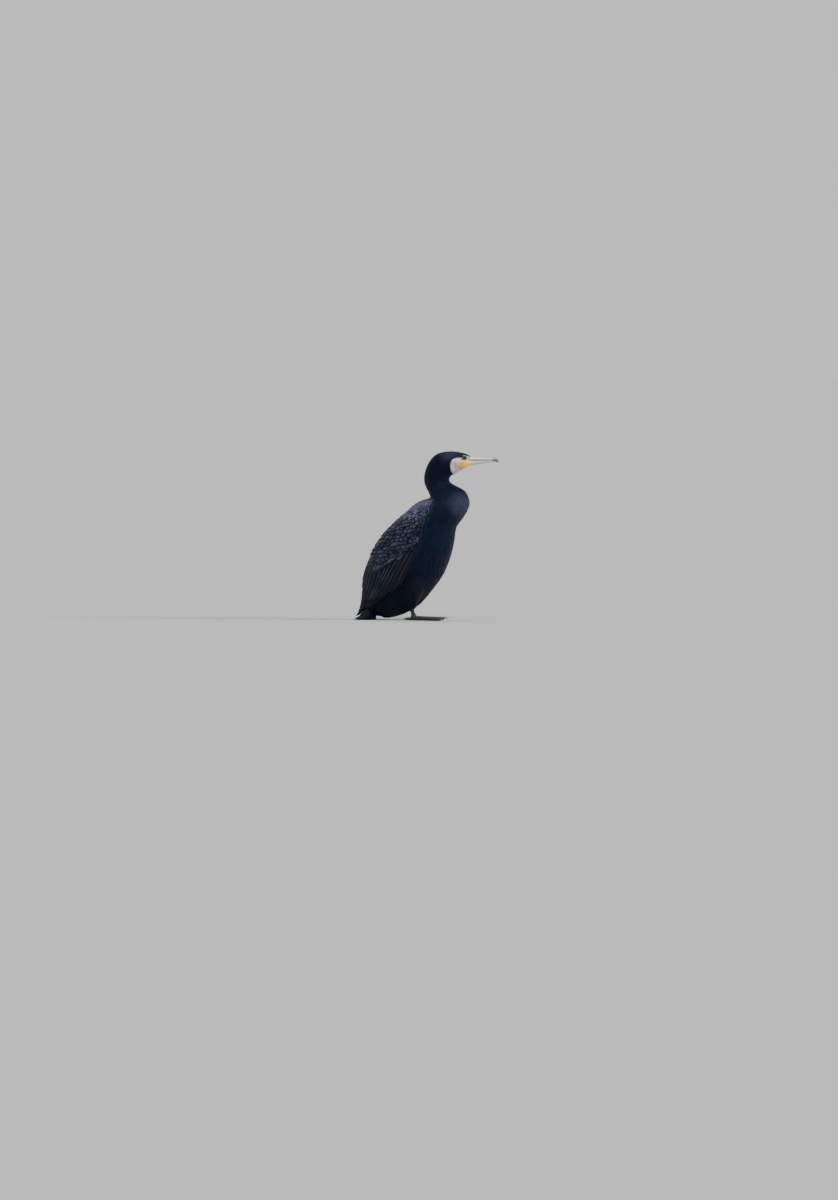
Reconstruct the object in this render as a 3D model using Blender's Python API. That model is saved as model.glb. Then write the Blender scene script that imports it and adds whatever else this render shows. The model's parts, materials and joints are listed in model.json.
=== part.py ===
"""Great cormorant standing at rest, life-size, as a still museum model.

Frame: metres, +Z up. The bird faces +X and its own left is +Y. It stands on the
floor z = 0 on the flats of its soles, and the end of its tail lies on the floor.

The body is one loft through ribs. A rib joins a point of the back outline to a point
of the front outline, seen from the side, and has a half width across the bird. The
loft is parted by flat cuts into head, upper neck, lower neck and trunk. Folded wings
are a layer over the trunk, cut to their outline from the side.
"""

import math
from collections import namedtuple

import bmesh
import bpy
from mathutils import Vector

# ------------------------------------------------------------------ driving sizes
GAP = 0.0003  # between pieces that touch
CUT = 0.00016  # half the width of a parting cut
SEGMENTS = 24  # sides of a body rib
WING_SEGMENTS = 24  # sides of a rib of the folded wings
FLOOR = 0.0
SHARP_ANGLE = math.radians(50)  # a steeper edge stays crisp

# A rib: back outline point (x, z), front outline point (x, z), half width across.
Rib = namedtuple("Rib", "name back front half")

BODY_RIBS = (
    Rib("bill root", (0.1233, 0.4417), (0.1137, 0.4153), 0.0098),
    Rib("brow", (0.1150, 0.4468), (0.1066, 0.4098), 0.0142),
    Rib("eye", (0.1042, 0.4509), (0.0987, 0.4058), 0.0172),
    Rib("crown", (0.0713, 0.4563), (0.0822, 0.3964), 0.0232),
    Rib("hind crown", (0.0315, 0.4501), (0.0685, 0.3888), 0.0266),
    Rib("nape", (0.0069, 0.4253), (0.0644, 0.3812), 0.0278),
    Rib("throat", (-0.0049, 0.3915), (0.0658, 0.3726), 0.0283),
    Rib("neck middle", (-0.0038, 0.3672), (0.0822, 0.3623), 0.0300),
    Rib("neck bend", (0.0062, 0.3450), (0.1083, 0.3483), 0.0345),
    Rib("neck root", (0.0108, 0.3290), (0.1201, 0.3200), 0.0425),
    Rib("mantle", (-0.0165, 0.3180), (0.1159, 0.2984), 0.0520),
    Rib("shoulder", (-0.0455, 0.2900), (0.1009, 0.2741), 0.0610),
    Rib("breast", (-0.0805, 0.2580), (0.0836, 0.2498), 0.0668),
    Rib("chest", (-0.1080, 0.2240), (0.0787, 0.2160), 0.0695),
    Rib("belly", (-0.1300, 0.1870), (0.0699, 0.1755), 0.0690),
    Rib("low belly", (-0.1465, 0.1480), (0.0507, 0.1261), 0.0650),
    Rib("loin", (-0.1572, 0.1090), (0.0233, 0.0869), 0.0570),
    Rib("vent", (-0.1612, 0.0720), (-0.0137, 0.0435), 0.0465),
    Rib("rump", (-0.1625, 0.0470), (-0.0600, 0.0155), 0.0350),
    Rib("tail coverts", (-0.1620, 0.0310), (-0.1010, 0.0055), 0.0250),
    Rib("coverts end", (-0.1560, 0.0210), (-0.1300, 0.0042), 0.0120),
)

# The folded wings' outer surface: the trunk from the neck root on, with this much cover
# over the back and over the sides, and two ribs more for the wing tips.
WING_COVER = (  # (back cover, side cover) for each rib from "neck root" on
    (0.0020, 0.0010),
    (0.0060, 0.0045),
    (0.0110, 0.0070),
    (0.0135, 0.0080),
    (0.0150, 0.0085),
    (0.0160, 0.0085),
    (0.0165, 0.0085),
    (0.0165, 0.0080),
    (0.0165, 0.0075),
    (0.0165, 0.0065),
)
WING_TIP_RIBS = (
    Rib("tip middle", (-0.1835, 0.0270), (-0.1500, 0.0160), 0.0270),
    Rib("tip end", (-0.1880, 0.0150), (-0.1700, 0.0100), 0.0150),
)
# Front and lower edge of a folded wing from the side, from the mantle to the wing tip.
WING_EDGE = (
    (0.0140, 0.3500),
    (0.0300, 0.3060),
    (0.0180, 0.2790),
    (0.0090, 0.2500),
    (0.0045, 0.2190),
    (-0.0120, 0.1870),
    (-0.0370, 0.1540),
    (-0.0560, 0.1190),
    (-0.0660, 0.0820),
    (-0.1080, 0.0580),
    (-0.1480, 0.0290),
    (-0.1860, 0.0095),
)
WING_OUTSIDE = ((-0.2300, 0.0095), (-0.2300, 0.1500), (-0.1500, 0.3500))
WING_SPAN = 0.12  # how far out the wing's outline is cut, more than the body's half width
PRIMARY_CUT = ((-0.1300, 0.1000), (0.35, 0.94))  # point and normal, from the side

UNDERTAIL_CLEARANCE = 0.004  # of the trunk over the floor

NECK_CUTS = (  # where the body is parted: point (x, z) and upward normal (x, z)
    ("head", (0.0658, 0.3790), (-0.12, 0.99)),
    ("neck_upper", (0.0500, 0.3450), (0.0, 1.0)),
    ("neck_lower", (0.0500, 0.3075), (0.13, 0.99)),
)

GULAR_BLOCK = 0.04  # half the width of the block that parts it from the head
# Bare skin of the gape and chin, from the side.
OUTLINE_SLANT = 1.6  # points move out from the middle, so slanting to their edges
GULAR_OUTLINE = (
    (0.1320, 0.4318),
    (0.1030, 0.4320),
    (0.0965, 0.4290),
    (0.0940, 0.4210),
    (0.0950, 0.4120),
    (0.0985, 0.4040),
    (0.1020, 0.3900),
    (0.1320, 0.3900),
)

BILL_SEGMENTS = 14
UPPER_BILL_RIBS = (
    Rib("root", (0.1236, 0.4414), (0.1198, 0.4311), 0.0094),
    Rib("nostril", (0.1345, 0.4403), (0.1325, 0.4308), 0.0077),
    Rib("middle", (0.1560, 0.4388), (0.1555, 0.4309), 0.0055),
    Rib("waist", (0.1760, 0.4385), (0.1750, 0.4312), 0.0046),
    Rib("nail", (0.1880, 0.4392), (0.1850, 0.4306), 0.0047),
    Rib("bend", (0.1952, 0.4368), (0.1905, 0.4288), 0.0040),
    Rib("hook", (0.1984, 0.4322), (0.1938, 0.4270), 0.0027),
    Rib("point", (0.1986, 0.4262), (0.1972, 0.4252), 0.0008),
)
LOWER_BILL_RIBS = (
    Rib("root", (0.1196, 0.4305), (0.1142, 0.4158), 0.0092),
    Rib("angle", (0.1310, 0.4302), (0.1285, 0.4185), 0.0078),
    Rib("middle", (0.1560, 0.4303), (0.1555, 0.4228), 0.0052),
    Rib("waist", (0.1750, 0.4305), (0.1745, 0.4256), 0.0040),
    Rib("tip", (0.1862, 0.4292), (0.1862, 0.4268), 0.0028),
    Rib("end", (0.1888, 0.4284), (0.1888, 0.4276), 0.0009),
)

EYE_RADIUS = 0.0062
EYE_SEGMENTS, EYE_RINGS = 14, 8
EYE_CENTRE = Vector((0.1078, 0.0098, 0.4385))  # the left eye

# The tail: a stiff wedge from inside the rump down to the floor.
TAIL_RIBS = (
    Rib("root", (-0.1440, 0.0950), (-0.1300, 0.0880), 0.0180),
    Rib("coverts", (-0.1560, 0.0580), (-0.1380, 0.0480), 0.0240),
    Rib("fan", (-0.1690, 0.0300), (-0.1390, 0.0190), 0.0300),
    Rib("bend", (-0.1780, 0.0140), (-0.1370, -0.0040), 0.0335),
    Rib("flat", (-0.1870, 0.0066), (-0.1620, -0.0040), 0.0330),
    Rib("fan end", (-0.1945, 0.0034), (-0.1880, -0.0020), 0.0235),
    Rib("end", (-0.1985, 0.0018), (-0.1975, -0.0004), 0.0100),
)

TAIL_SEGMENTS = 18
TAIL_FULLNESS = 0.8  # squarer than an ellipse

# Legs. A side is +1 for the left leg and -1 for the right; the left foot is set back.
HIP_ACROSS = 0.036
FOOT_X = {1: -0.0400, -1: -0.0260}
THIGH_FOOT = 0.0335  # height at which the feathers end on the shank
THIGH_RINGS = (  # height, back of the foot, inward of the foot, radius
    (0.1420, 0.004, 0.0120, 0.0160),
    (0.1200, 0.002, 0.0060, 0.0270),
    (0.0900, 0.000, 0.0020, 0.0295),
    (0.0640, -0.003, 0.0000, 0.0225),
    (0.0450, -0.006, 0.0000, 0.0145),
    (THIGH_FOOT, -0.0065, 0.0000, 0.0102),
)
INSTEP_TOP = 0.0125
INSTEP_RADIUS = 0.0085
TARSUS_RADII = (0.0066, 0.0052, 0.0056)  # half depth at the foot, middle and top
TARSUS_WIDTH = 0.78  # its breadth across as a share of its depth
TARSUS_LEAN = 0.008  # how far the top lies behind the foot

# Toes: length without claw, bearing out from straight ahead in degrees, root radius.
Toe = namedtuple("Toe", "name length bearing radius joints")
TOES = (
    Toe("hind", 0.034, -118.0, 0.0036, 1),
    Toe("inner", 0.052, -30.0, 0.0040, 2),
    Toe("middle", 0.072, -1.0, 0.0043, 3),
    Toe("outer", 0.086, 27.0, 0.0044, 4),
)
TOE_TIP_SHARE = 0.72  # tip radius over root radius
KNUCKLE_SWELL = 0.16
TOE_SEGMENTS = 8
TOE_END = 0.55  # a toe's blunt ends, as a share of its radius there
WEB_STEPS = 4  # points along a web's free edge
WEB_THICKNESS = 0.0013
WEB_BOTTOM = 0.0007
WEB_REACH = 0.93  # how far along a toe its webs end
WEB_HEEL = (-0.004, 0.0035)  # where the webs end behind the instep
WEB_SAG = 0.20  # how far a web's free edge is drawn in, as a share of its reach
CLAW_LENGTH = 0.0115
CLAW_ARCH = 0.0016
CLAW_STEPS = 3
CLAW_TIP = 0.0004  # radius
CLAW_CLEARANCE = 0.0002  # over the floor


# ------------------------------------------------------------------------ helpers
def remove_startup_objects():
    """Clears the scene, so that only the bird is left."""
    for thing in list(bpy.data.objects):
        bpy.data.objects.remove(thing)


def finish(name, colour, roughness, metallic=0.0):
    """A plain material of one colour."""
    material = bpy.data.materials.new(name)
    material.use_nodes = True
    shader = material.node_tree.nodes["Principled BSDF"]
    shader.inputs["Base Color"].default_value = (*colour, 1.0)
    shader.inputs["Roughness"].default_value = roughness
    shader.inputs["Metallic"].default_value = metallic
    material.diffuse_color = (*colour, 1.0)
    return material


def add_object(name, bm, material=None, helper=False):
    """Turns a bmesh into an object of the scene; a helper stays out of the model."""
    bmesh.ops.recalc_face_normals(bm, faces=bm.faces)
    if bm.calc_volume(signed=True) < 0:
        bmesh.ops.reverse_faces(bm, faces=bm.faces)
    mesh = bpy.data.meshes.new(name)
    bm.to_mesh(mesh)
    bm.free()
    mesh.shade_smooth()
    mesh.set_sharp_from_angle(angle=SHARP_ANGLE)
    thing = bpy.data.objects.new(name, mesh)
    bpy.context.scene.collection.objects.link(thing)
    if material:
        mesh.materials.append(material)
    if helper:
        thing.hide_render = True
        thing.display_type = "WIRE"
    return thing


def boolean(thing, helper, operation="DIFFERENCE"):
    """Adds a live Boolean of a helper to an object."""
    modifier = thing.modifiers.new(operation.lower() + " " + helper.name, "BOOLEAN")
    modifier.operation = operation
    modifier.object = helper
    return thing


def baked(thing):
    """A bmesh of an object as its modifiers leave it."""
    bpy.context.view_layer.update()
    graph = bpy.context.evaluated_depsgraph_get()
    bm = bmesh.new()
    bm.from_object(thing, graph)
    return bm


def spline(points, t):
    """Catmull-Rom curve through tuples of numbers; t runs from 0 to len(points) - 1."""
    last = len(points) - 1
    i = min(int(t), last - 1)
    u = t - i
    p0, p1, p2, p3 = (points[min(max(k, 0), last)] for k in (i - 1, i, i + 1, i + 2))
    return tuple(
        b + 0.5 * u * (c - a + u * (2 * a - 5 * b + 4 * c - d + u * (3 * (b - c) + d - a)))
        for a, b, c, d in zip(p0, p1, p2, p3)
    )


def unit_tube(segments, steps):
    """A closed tube of radius 1 along Z, from z = 0 to z = steps, with one ring a step."""
    bm = bmesh.new()
    bmesh.ops.create_circle(bm, cap_ends=True, segments=segments, radius=1.0)
    edges = list(bm.edges)
    for _ in range(steps):
        grown = bmesh.ops.extrude_edge_only(bm, edges=edges)["geom"]
        ring = {v for v in grown if isinstance(v, bmesh.types.BMVert)}
        bmesh.ops.translate(bm, verts=list(ring), vec=(0, 0, 1))
        edges = [e for e in bm.edges if e.verts[0] in ring and e.verts[1] in ring]
    bmesh.ops.contextual_create(bm, geom=edges)
    return bm


def rib_values(ribs):
    """Each rib as one flat tuple, for the spline."""
    return [(*rib.back, *rib.front, rib.half) for rib in ribs]


def loft(ribs, per_rib=2, segments=SEGMENTS, grow=0.0, fullness=1.0):
    """A closed loft through ribs, grown outwards by a distance.

    fullness under 1 squares the section, over 1 sharpens it towards a lens.
    """
    values = rib_values(ribs)
    steps = (len(ribs) - 1) * per_rib
    bm = unit_tube(segments, steps)
    for vert in bm.verts:
        x, y, level = vert.co
        bx, bz, fx, fz, half = spline(values, level / per_rib)
        back, front = Vector((bx, 0, bz)), Vector((fx, 0, fz))
        middle, reach = (back + front) / 2, (back - front) / 2
        depth = reach.length + grow
        along = math.copysign(abs(x) ** fullness, x)
        across = math.copysign(abs(y) ** fullness, y)
        vert.co = middle + reach.normalized() * (along * depth)
        vert.co.y = across * (half + grow)
    return bm


def clamp_height(bm, low=FLOOR, high=None):
    """Presses everything below the floor, or above a top, flat."""
    for vert in bm.verts:
        vert.co.z = max(vert.co.z, low)
        if high is not None:
            vert.co.z = min(vert.co.z, high)


def keep_side(bm, point, normal, above):
    """Cuts a closed bmesh by a plane seen from the side, keeps one part and closes it."""
    direction = Vector((normal[0], 0, normal[1])).normalized()
    place = Vector((point[0], 0, point[1])) + direction * (CUT if above else -CUT)
    cut = bmesh.ops.bisect_plane(
        bm,
        geom=bm.verts[:] + bm.edges[:] + bm.faces[:],
        plane_co=place,
        plane_no=direction,
        clear_inner=above,
        clear_outer=not above,
    )
    rim = [e for e in cut["geom_cut"] if isinstance(e, bmesh.types.BMEdge)]
    bmesh.ops.contextual_create(bm, geom=rim)


def prism(outline, low, high):
    """A closed outline seen from the side, drawn out across the bird."""
    bm = bmesh.new()
    face = bm.faces.new([bm.verts.new((x, low, z)) for x, z in outline])
    grown = bmesh.ops.extrude_face_region(bm, geom=[face])["geom"]
    far = [v for v in grown if isinstance(v, bmesh.types.BMVert)]
    bmesh.ops.translate(bm, verts=far, vec=(0, high - low, 0))
    return bm


def smooth_outline(points, per_point=3):
    """More points on the smooth curve through some."""
    count = (len(points) - 1) * per_point
    return [spline(points, i / per_point) for i in range(count + 1)]


def swept(path, radii, width=1.0, segments=16, per_point=3):
    """A closed round limb along a path of points, with a radius at each point."""
    nodes = [(*point, radius) for point, radius in zip(path, radii)]
    steps = (len(nodes) - 1) * per_point
    bm = unit_tube(segments, steps)
    for vert in bm.verts:
        level = vert.co.z / per_point
        *centre, radius = spline(nodes, level)
        # Rings stay level: limbs here run nearly upright.
        vert.co = Vector(
            (
                centre[0] + vert.co.x * radius,
                centre[1] + vert.co.y * radius * width,
                centre[2],
            )
        )
    return bm


# ------------------------------------------------------------------- body and head
def build_body(finishes):
    """Head, two lengths of neck and trunk, cut from one loft, and the gape's skin."""
    above = None
    for name, point, normal in (*NECK_CUTS, ("trunk", None, None)):
        bm = loft(BODY_RIBS)
        if above:
            keep_side(bm, *above, above=False)
        if point:
            keep_side(bm, point, normal, above=True)
        above = (point, normal)
        if name == "trunk":
            clamp_height(bm, low=UNDERTAIL_CLEARANCE)
        if name != "head":
            add_object(name, bm, finishes["plumage"])
            continue
        whole_head = add_object("whole head", bm, helper=True)

    sockets = []
    for side in (1, -1):
        sockets.append(add_object(f"socket {side}", eyeball(side, EYE_RADIUS + GAP), helper=True))

    gular_block = prism(GULAR_OUTLINE, -GULAR_BLOCK, GULAR_BLOCK)
    block = add_object("gular block", gular_block, helper=True)
    wide = GULAR_BLOCK + GAP
    grown = prism(grown_outline(GULAR_OUTLINE, GAP * OUTLINE_SLANT), -wide, wide)
    grown_block = add_object("gular block grown", grown, helper=True)

    head = add_object("head", baked(whole_head), finishes["plumage"])
    boolean(head, grown_block)
    gular = add_object("gular_skin", baked(whole_head), finishes["gular"])
    boolean(gular, block, "INTERSECT")
    for socket in sockets:
        boolean(head, socket)


def grown_outline(outline, distance):
    """An outline with each point moved out from the outline's middle by a distance."""
    middle = Vector((sum(x for x, _ in outline), sum(z for _, z in outline))) / len(outline)
    points = [Vector(point) for point in outline]
    return [tuple(p + (p - middle).normalized() * distance) for p in points]


def mirrored(point, side):
    """A point of the bird's left side, or the same one on its right."""
    return Vector((point[0], point[1] * side, point[2]))


def eyeball(side, radius):
    """A ball in the place of one eye."""
    bm = bmesh.new()
    bmesh.ops.create_uvsphere(bm, u_segments=EYE_SEGMENTS, v_segments=EYE_RINGS, radius=radius)
    bmesh.ops.translate(bm, verts=bm.verts, vec=mirrored(EYE_CENTRE, side))
    return bm


def build_eyes(finishes):
    """Both eyeballs, seated in the head."""
    for side, word in ((1, "left"), (-1, "right")):
        add_object(f"eye_{word}", eyeball(side, EYE_RADIUS), finishes["eye"])


def build_bill(finishes):
    """Upper bill with its hooked nail, and lower bill."""
    upper = loft(UPPER_BILL_RIBS, segments=BILL_SEGMENTS)
    add_object("bill_upper", upper, finishes["bill"])
    lower = loft(LOWER_BILL_RIBS, segments=BILL_SEGMENTS)
    add_object("bill_lower", lower, finishes["bill"])


# ------------------------------------------------------------------ wings and tail
def wing_envelope_ribs():
    """The ribs of the outer surface of the folded wings."""
    first = [rib.name for rib in BODY_RIBS].index("neck root")
    ribs = []
    for rib, (back_cover, side_cover) in zip(BODY_RIBS[first:], WING_COVER):
        back, front = Vector(rib.back), Vector(rib.front)
        out = back + (back - front).normalized() * back_cover
        ribs.append(Rib(rib.name, tuple(out), rib.front, rib.half + side_cover))
    return (*ribs, *WING_TIP_RIBS)


def build_tail(finishes, body_cutter):
    """The tail, from the rump to the floor."""
    bm = loft(TAIL_RIBS, segments=TAIL_SEGMENTS, fullness=TAIL_FULLNESS)
    clamp_height(bm)
    tail = add_object("tail", bm, finishes["flight"])
    boolean(tail, body_cutter)
    cutter = loft(TAIL_RIBS, segments=TAIL_SEGMENTS, fullness=TAIL_FULLNESS, grow=GAP)
    return add_object("tail cutter", cutter, helper=True)


def build_wings(finishes, body_cutter, tail_cutter):
    """Each folded wing in two pieces: the coverts' part and the flight feathers' tip."""
    edge = smooth_outline(WING_EDGE, per_point=2)
    point, normal = PRIMARY_CUT
    for side, word in ((1, "left"), (-1, "right")):
        near, far = sorted((side * GAP, side * WING_SPAN))
        outline = add_object(f"outline {word}", prism([*edge, *WING_OUTSIDE], near, far), helper=True)
        envelope = loft(wing_envelope_ribs(), segments=WING_SEGMENTS)
        whole = add_object(f"whole wing {word}", envelope, helper=True)
        boolean(whole, outline, "INTERSECT")
        boolean(whole, body_cutter)
        boolean(whole, tail_cutter)
        for name, above in (("wing", True), ("primaries", False)):
            bm = baked(whole)
            keep_side(bm, point, normal, above=above)
            material = finishes["covert" if above else "flight"]
            add_object(f"{name}_{word}", bm, material)


# ----------------------------------------------------------------------- the legs
def toe_bearing(toe, side):
    """Unit vector of a toe on the floor."""
    angle = math.radians(toe.bearing)
    return Vector((math.cos(angle), math.sin(angle) * side, 0))


def toe_tip(toe, side):
    """Where a toe ends, on the floor."""
    root = Vector((FOOT_X[side], HIP_ACROSS * side, 0))
    return root + toe_bearing(toe, side) * toe.length


def toe_radius(toe, share):
    """The radius of a toe at a share of its length, swollen at each joint."""
    taper = 1 + (TOE_TIP_SHARE - 1) * share
    swell = KNUCKLE_SWELL * math.cos(2 * math.pi * share * (toe.joints + 0.5)) ** 2
    return toe.radius * (taper + swell * (share > 0.12))


def build_toe(toe, side):
    """One toe as a tapering tube with a flat sole."""
    steps = 3 + 3 * toe.joints
    bm = unit_tube(TOE_SEGMENTS, steps)
    ahead = toe_bearing(toe, side)
    across = Vector((-ahead.y, ahead.x, 0))
    root = Vector((FOOT_X[side], HIP_ACROSS * side, 0))
    for vert in bm.verts:
        share = vert.co.z / steps
        radius = toe_radius(toe, share)
        if share in (0, 1):
            radius *= TOE_END
        rise = radius * 0.78 + 0.002 * (1 - share) ** 2
        spot = root + ahead * toe.length * share
        vert.co = spot + across * vert.co.x * radius + Vector((0, 0, rise + vert.co.y * radius))
    clamp_height(bm)
    return bm


def web_outline(side):
    """The free edge of the webs from toe tip to toe tip, then back to the instep."""
    root = Vector((FOOT_X[side], HIP_ACROSS * side, 0))
    points = []
    for toe, following in zip(TOES, TOES[1:]):
        start, end = (root + (toe_tip(t, side) - root) * WEB_REACH for t in (toe, following))
        for i in range(WEB_STEPS):
            share = i / WEB_STEPS
            point = start.lerp(end, share)
            pull = 1 - WEB_SAG * math.sin(math.pi * share)
            points.append(root + (point - root) * pull)
    points.append(root + (toe_tip(TOES[-1], side) - root) * WEB_REACH)
    heel = root + Vector((WEB_HEEL[0], WEB_HEEL[1] * side, 0))
    return [*points, heel]


def build_web(side):
    """The webs that join all four toes, as one thin plate."""
    bm = bmesh.new()
    face = bm.faces.new([bm.verts.new((p.x, p.y, WEB_BOTTOM)) for p in web_outline(side)])
    grown = bmesh.ops.extrude_face_region(bm, geom=[face])["geom"]
    top = [v for v in grown if isinstance(v, bmesh.types.BMVert)]
    bmesh.ops.translate(bm, verts=top, vec=(0, 0, WEB_THICKNESS))
    return bm


def build_foot(finishes, side, word):
    """A webbed foot: instep, four toes and webs in one piece."""
    instep = bmesh.new()
    bmesh.ops.create_uvsphere(instep, u_segments=14, v_segments=8, radius=1.0)
    bmesh.ops.scale(instep, verts=instep.verts, vec=(INSTEP_RADIUS, INSTEP_RADIUS, INSTEP_TOP))
    place = Vector((FOOT_X[side], HIP_ACROSS * side, INSTEP_TOP * 0.42))
    bmesh.ops.translate(instep, verts=instep.verts, vec=place)
    clamp_height(instep, high=INSTEP_TOP)
    foot = add_object(f"foot_{word}", instep, finishes["leg"])
    web = add_object(f"web {word}", build_web(side), helper=True)
    boolean(foot, web, "UNION")
    for toe in TOES:
        digit = add_object(f"toe {toe.name} {word}", build_toe(toe, side), helper=True)
        boolean(foot, digit, "UNION")


def build_claw(toe, side):
    """A curved claw in front of a toe's tip."""
    bm = unit_tube(TOE_SEGMENTS, CLAW_STEPS)
    ahead = toe_bearing(toe, side)
    across = Vector((-ahead.y, ahead.x, 0))
    start = toe_tip(toe, side) + ahead * GAP
    base = toe.radius * TOE_TIP_SHARE * TOE_END
    for vert in bm.verts:
        share = vert.co.z / CLAW_STEPS
        radius = base * (1 - share) ** 0.7 + CLAW_TIP
        height = base * 1.45 + CLAW_ARCH * math.sin(math.pi * share) - base * 0.8 * share
        spot = start + ahead * CLAW_LENGTH * share
        lift = Vector((0, 0, height + vert.co.y * radius * 1.1))
        vert.co = spot + across * vert.co.x * radius * 0.8 + lift
    clamp_height(bm, low=CLAW_CLEARANCE)
    return bm


def build_legs(finishes, body_cutter):
    """Feathered thighs, scaly shanks, webbed feet and claws."""
    for side, word in ((1, "left"), (-1, "right")):
        x, y = FOOT_X[side], HIP_ACROSS * side
        path = [(x + back, y - inward * side, z) for z, back, inward, _ in THIGH_RINGS]
        radii = [radius for *_, radius in THIGH_RINGS]
        limb = swept(path, radii, segments=16, per_point=2)
        thigh = add_object(f"thigh_{word}", limb, finishes["plumage"])
        boolean(thigh, body_cutter)

        top = THIGH_FOOT - GAP
        bottom = INSTEP_TOP + GAP
        middle = (top + bottom) / 2
        shank_path = (
            (x, y, bottom),
            (x - TARSUS_LEAN * 0.4, y, middle),
            (x - TARSUS_LEAN, y, top),
        )
        shank = swept(shank_path, TARSUS_RADII, TARSUS_WIDTH, segments=12)
        add_object(f"shank_{word}", shank, finishes["leg"])

        build_foot(finishes, side, word)
        for toe in TOES:
            add_object(f"claw_{word}_{toe.name}", build_claw(toe, side), finishes["claw"])


def main():
    """Builds the whole bird."""
    remove_startup_objects()
    finishes = {
        "plumage": finish("blue black plumage", (0.010, 0.014, 0.026), 0.45),
        "covert": finish("bronze covert plumage", (0.045, 0.040, 0.045), 0.50),
        "flight": finish("black flight feathers", (0.012, 0.013, 0.017), 0.45),
        "gular": finish("yellow bare skin", (0.80, 0.46, 0.10), 0.50),
        "bill": finish("pale horn", (0.52, 0.50, 0.50), 0.40),
        "eye": finish("green eye", (0.02, 0.16, 0.10), 0.08),
        "leg": finish("black scaly skin", (0.020, 0.020, 0.022), 0.50),
        "claw": finish("dark claw", (0.030, 0.028, 0.028), 0.35),
    }
    build_body(finishes)
    build_eyes(finishes)
    build_bill(finishes)
    body_cutter = add_object("body cutter", loft(BODY_RIBS, grow=GAP), helper=True)
    tail_cutter = build_tail(finishes, body_cutter)
    build_wings(finishes, body_cutter, tail_cutter)
    build_legs(finishes, body_cutter)


main()
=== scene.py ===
"""A great cormorant standing on flat webbed feet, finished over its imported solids.

The body is mapped once as a chart: s runs from the bill's root along the body to the
wing tips, and a column angle runs round it from the back over the left side. The skin
and every feather are laid by that chart, so that they follow the solids.
"""

from __future__ import annotations

import json
import logging
import math
from dataclasses import dataclass, field, fields, replace
from enum import Enum
from typing import Callable, ClassVar, Iterable, Sequence

import bmesh
import bpy
import numpy as np
from bmesh.types import BMEdge, BMesh, BMVert
from bpy.types import Material, Mesh, Node, NodeSocket, NodeTree, Object
from mathutils import Matrix, Vector
from mathutils.bvhtree import BVHTree

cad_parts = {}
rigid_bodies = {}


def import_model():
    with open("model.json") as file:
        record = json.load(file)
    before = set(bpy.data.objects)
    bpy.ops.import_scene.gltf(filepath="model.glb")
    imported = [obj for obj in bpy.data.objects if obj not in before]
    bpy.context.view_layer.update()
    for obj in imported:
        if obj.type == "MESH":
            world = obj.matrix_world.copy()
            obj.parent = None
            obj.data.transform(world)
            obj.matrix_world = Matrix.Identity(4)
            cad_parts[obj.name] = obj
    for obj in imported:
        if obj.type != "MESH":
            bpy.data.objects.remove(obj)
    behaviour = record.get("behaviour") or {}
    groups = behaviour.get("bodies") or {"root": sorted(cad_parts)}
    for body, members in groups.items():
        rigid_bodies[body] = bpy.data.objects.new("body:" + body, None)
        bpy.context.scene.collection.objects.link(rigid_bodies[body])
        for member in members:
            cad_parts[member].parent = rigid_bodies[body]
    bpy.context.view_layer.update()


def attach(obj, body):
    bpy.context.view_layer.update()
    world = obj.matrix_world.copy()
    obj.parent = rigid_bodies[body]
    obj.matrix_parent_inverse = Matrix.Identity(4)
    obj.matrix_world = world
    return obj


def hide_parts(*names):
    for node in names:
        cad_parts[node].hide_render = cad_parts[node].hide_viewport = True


log = logging.getLogger("cormorant")

Array = np.ndarray
Row = tuple[float, ...]
Line = tuple[tuple[float, float], ...]

BODY = "root"
SEED = 20417
MM = 0.001
TURN = 2 * math.pi
BAKE_MAP = "OFBake"
VANE_MAP = "vane"
BAKE_PATCH = 0.003  # a feather's patch on the bake map
BAKE_MARGIN = 0.006
CAP_RINGS = (0.35, 0.65, 0.88)  # heights of a rounded cap's rings, as shares of its own


class Slot(Enum):
    """The record's material slots that new pieces use."""

    PLUMAGE = "plumage"
    COVERT = "covert"
    FLIGHT = "flight"
    BILL = "bill"
    EYE = "eye"
    LEG = "leg"
    CLAW = "claw"


# ---------------------------------------------------------------- small helpers


def smoothstep(low: float, high: float, value: Array) -> Array:
    """A soft step from 0 at low to 1 at high, which may be the smaller one."""
    t = np.clip((value - low) / (high - low), 0.0, 1.0)
    return t * t * (3 - 2 * t)


def bump(value: Array, middle: float, width: float) -> Array:
    """A bell of height 1 round the middle."""
    return np.exp(-(((value - middle) / width) ** 2))


def spline(points: Array, t: Array) -> Array:
    """A Catmull-Rom curve through points.

    Args:
        points: One row for each point.
        t: Places on the curve, from 0 to len(points) - 1.

    Returns:
        One row for each place.
    """
    last = len(points) - 1
    i = np.clip(t.astype(int), 0, last - 1)
    u = (t - i)[:, None]
    a, b, c, d = (points[np.clip(i + k, 0, last)] for k in (-1, 0, 1, 2))
    return b + 0.5 * u * (c - a + u * (2 * a - 5 * b + 4 * c - d + u * (3 * (b - c) + d - a)))


def run_along(path: Array) -> Array:
    """How far it is from a path's start to each of its points."""
    steps = np.linalg.norm(np.diff(path, axis=0), axis=-1)
    return np.concatenate([np.zeros_like(steps[:1]), np.cumsum(steps, axis=0)])


def along(points: Sequence[Row], count: int) -> Array:
    """Evenly spaced points on a Catmull-Rom curve.

    Args:
        points: The curve's points.
        count: How many are wanted.

    Returns:
        An array with a row for each.
    """
    rough = spline(np.array(points, float), np.linspace(0, len(points) - 1, 40 * len(points)))
    run = run_along(rough)
    wanted = np.linspace(0, run[-1], count)
    return np.stack([np.interp(wanted, run, axis) for axis in rough.T], axis=1)


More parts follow.
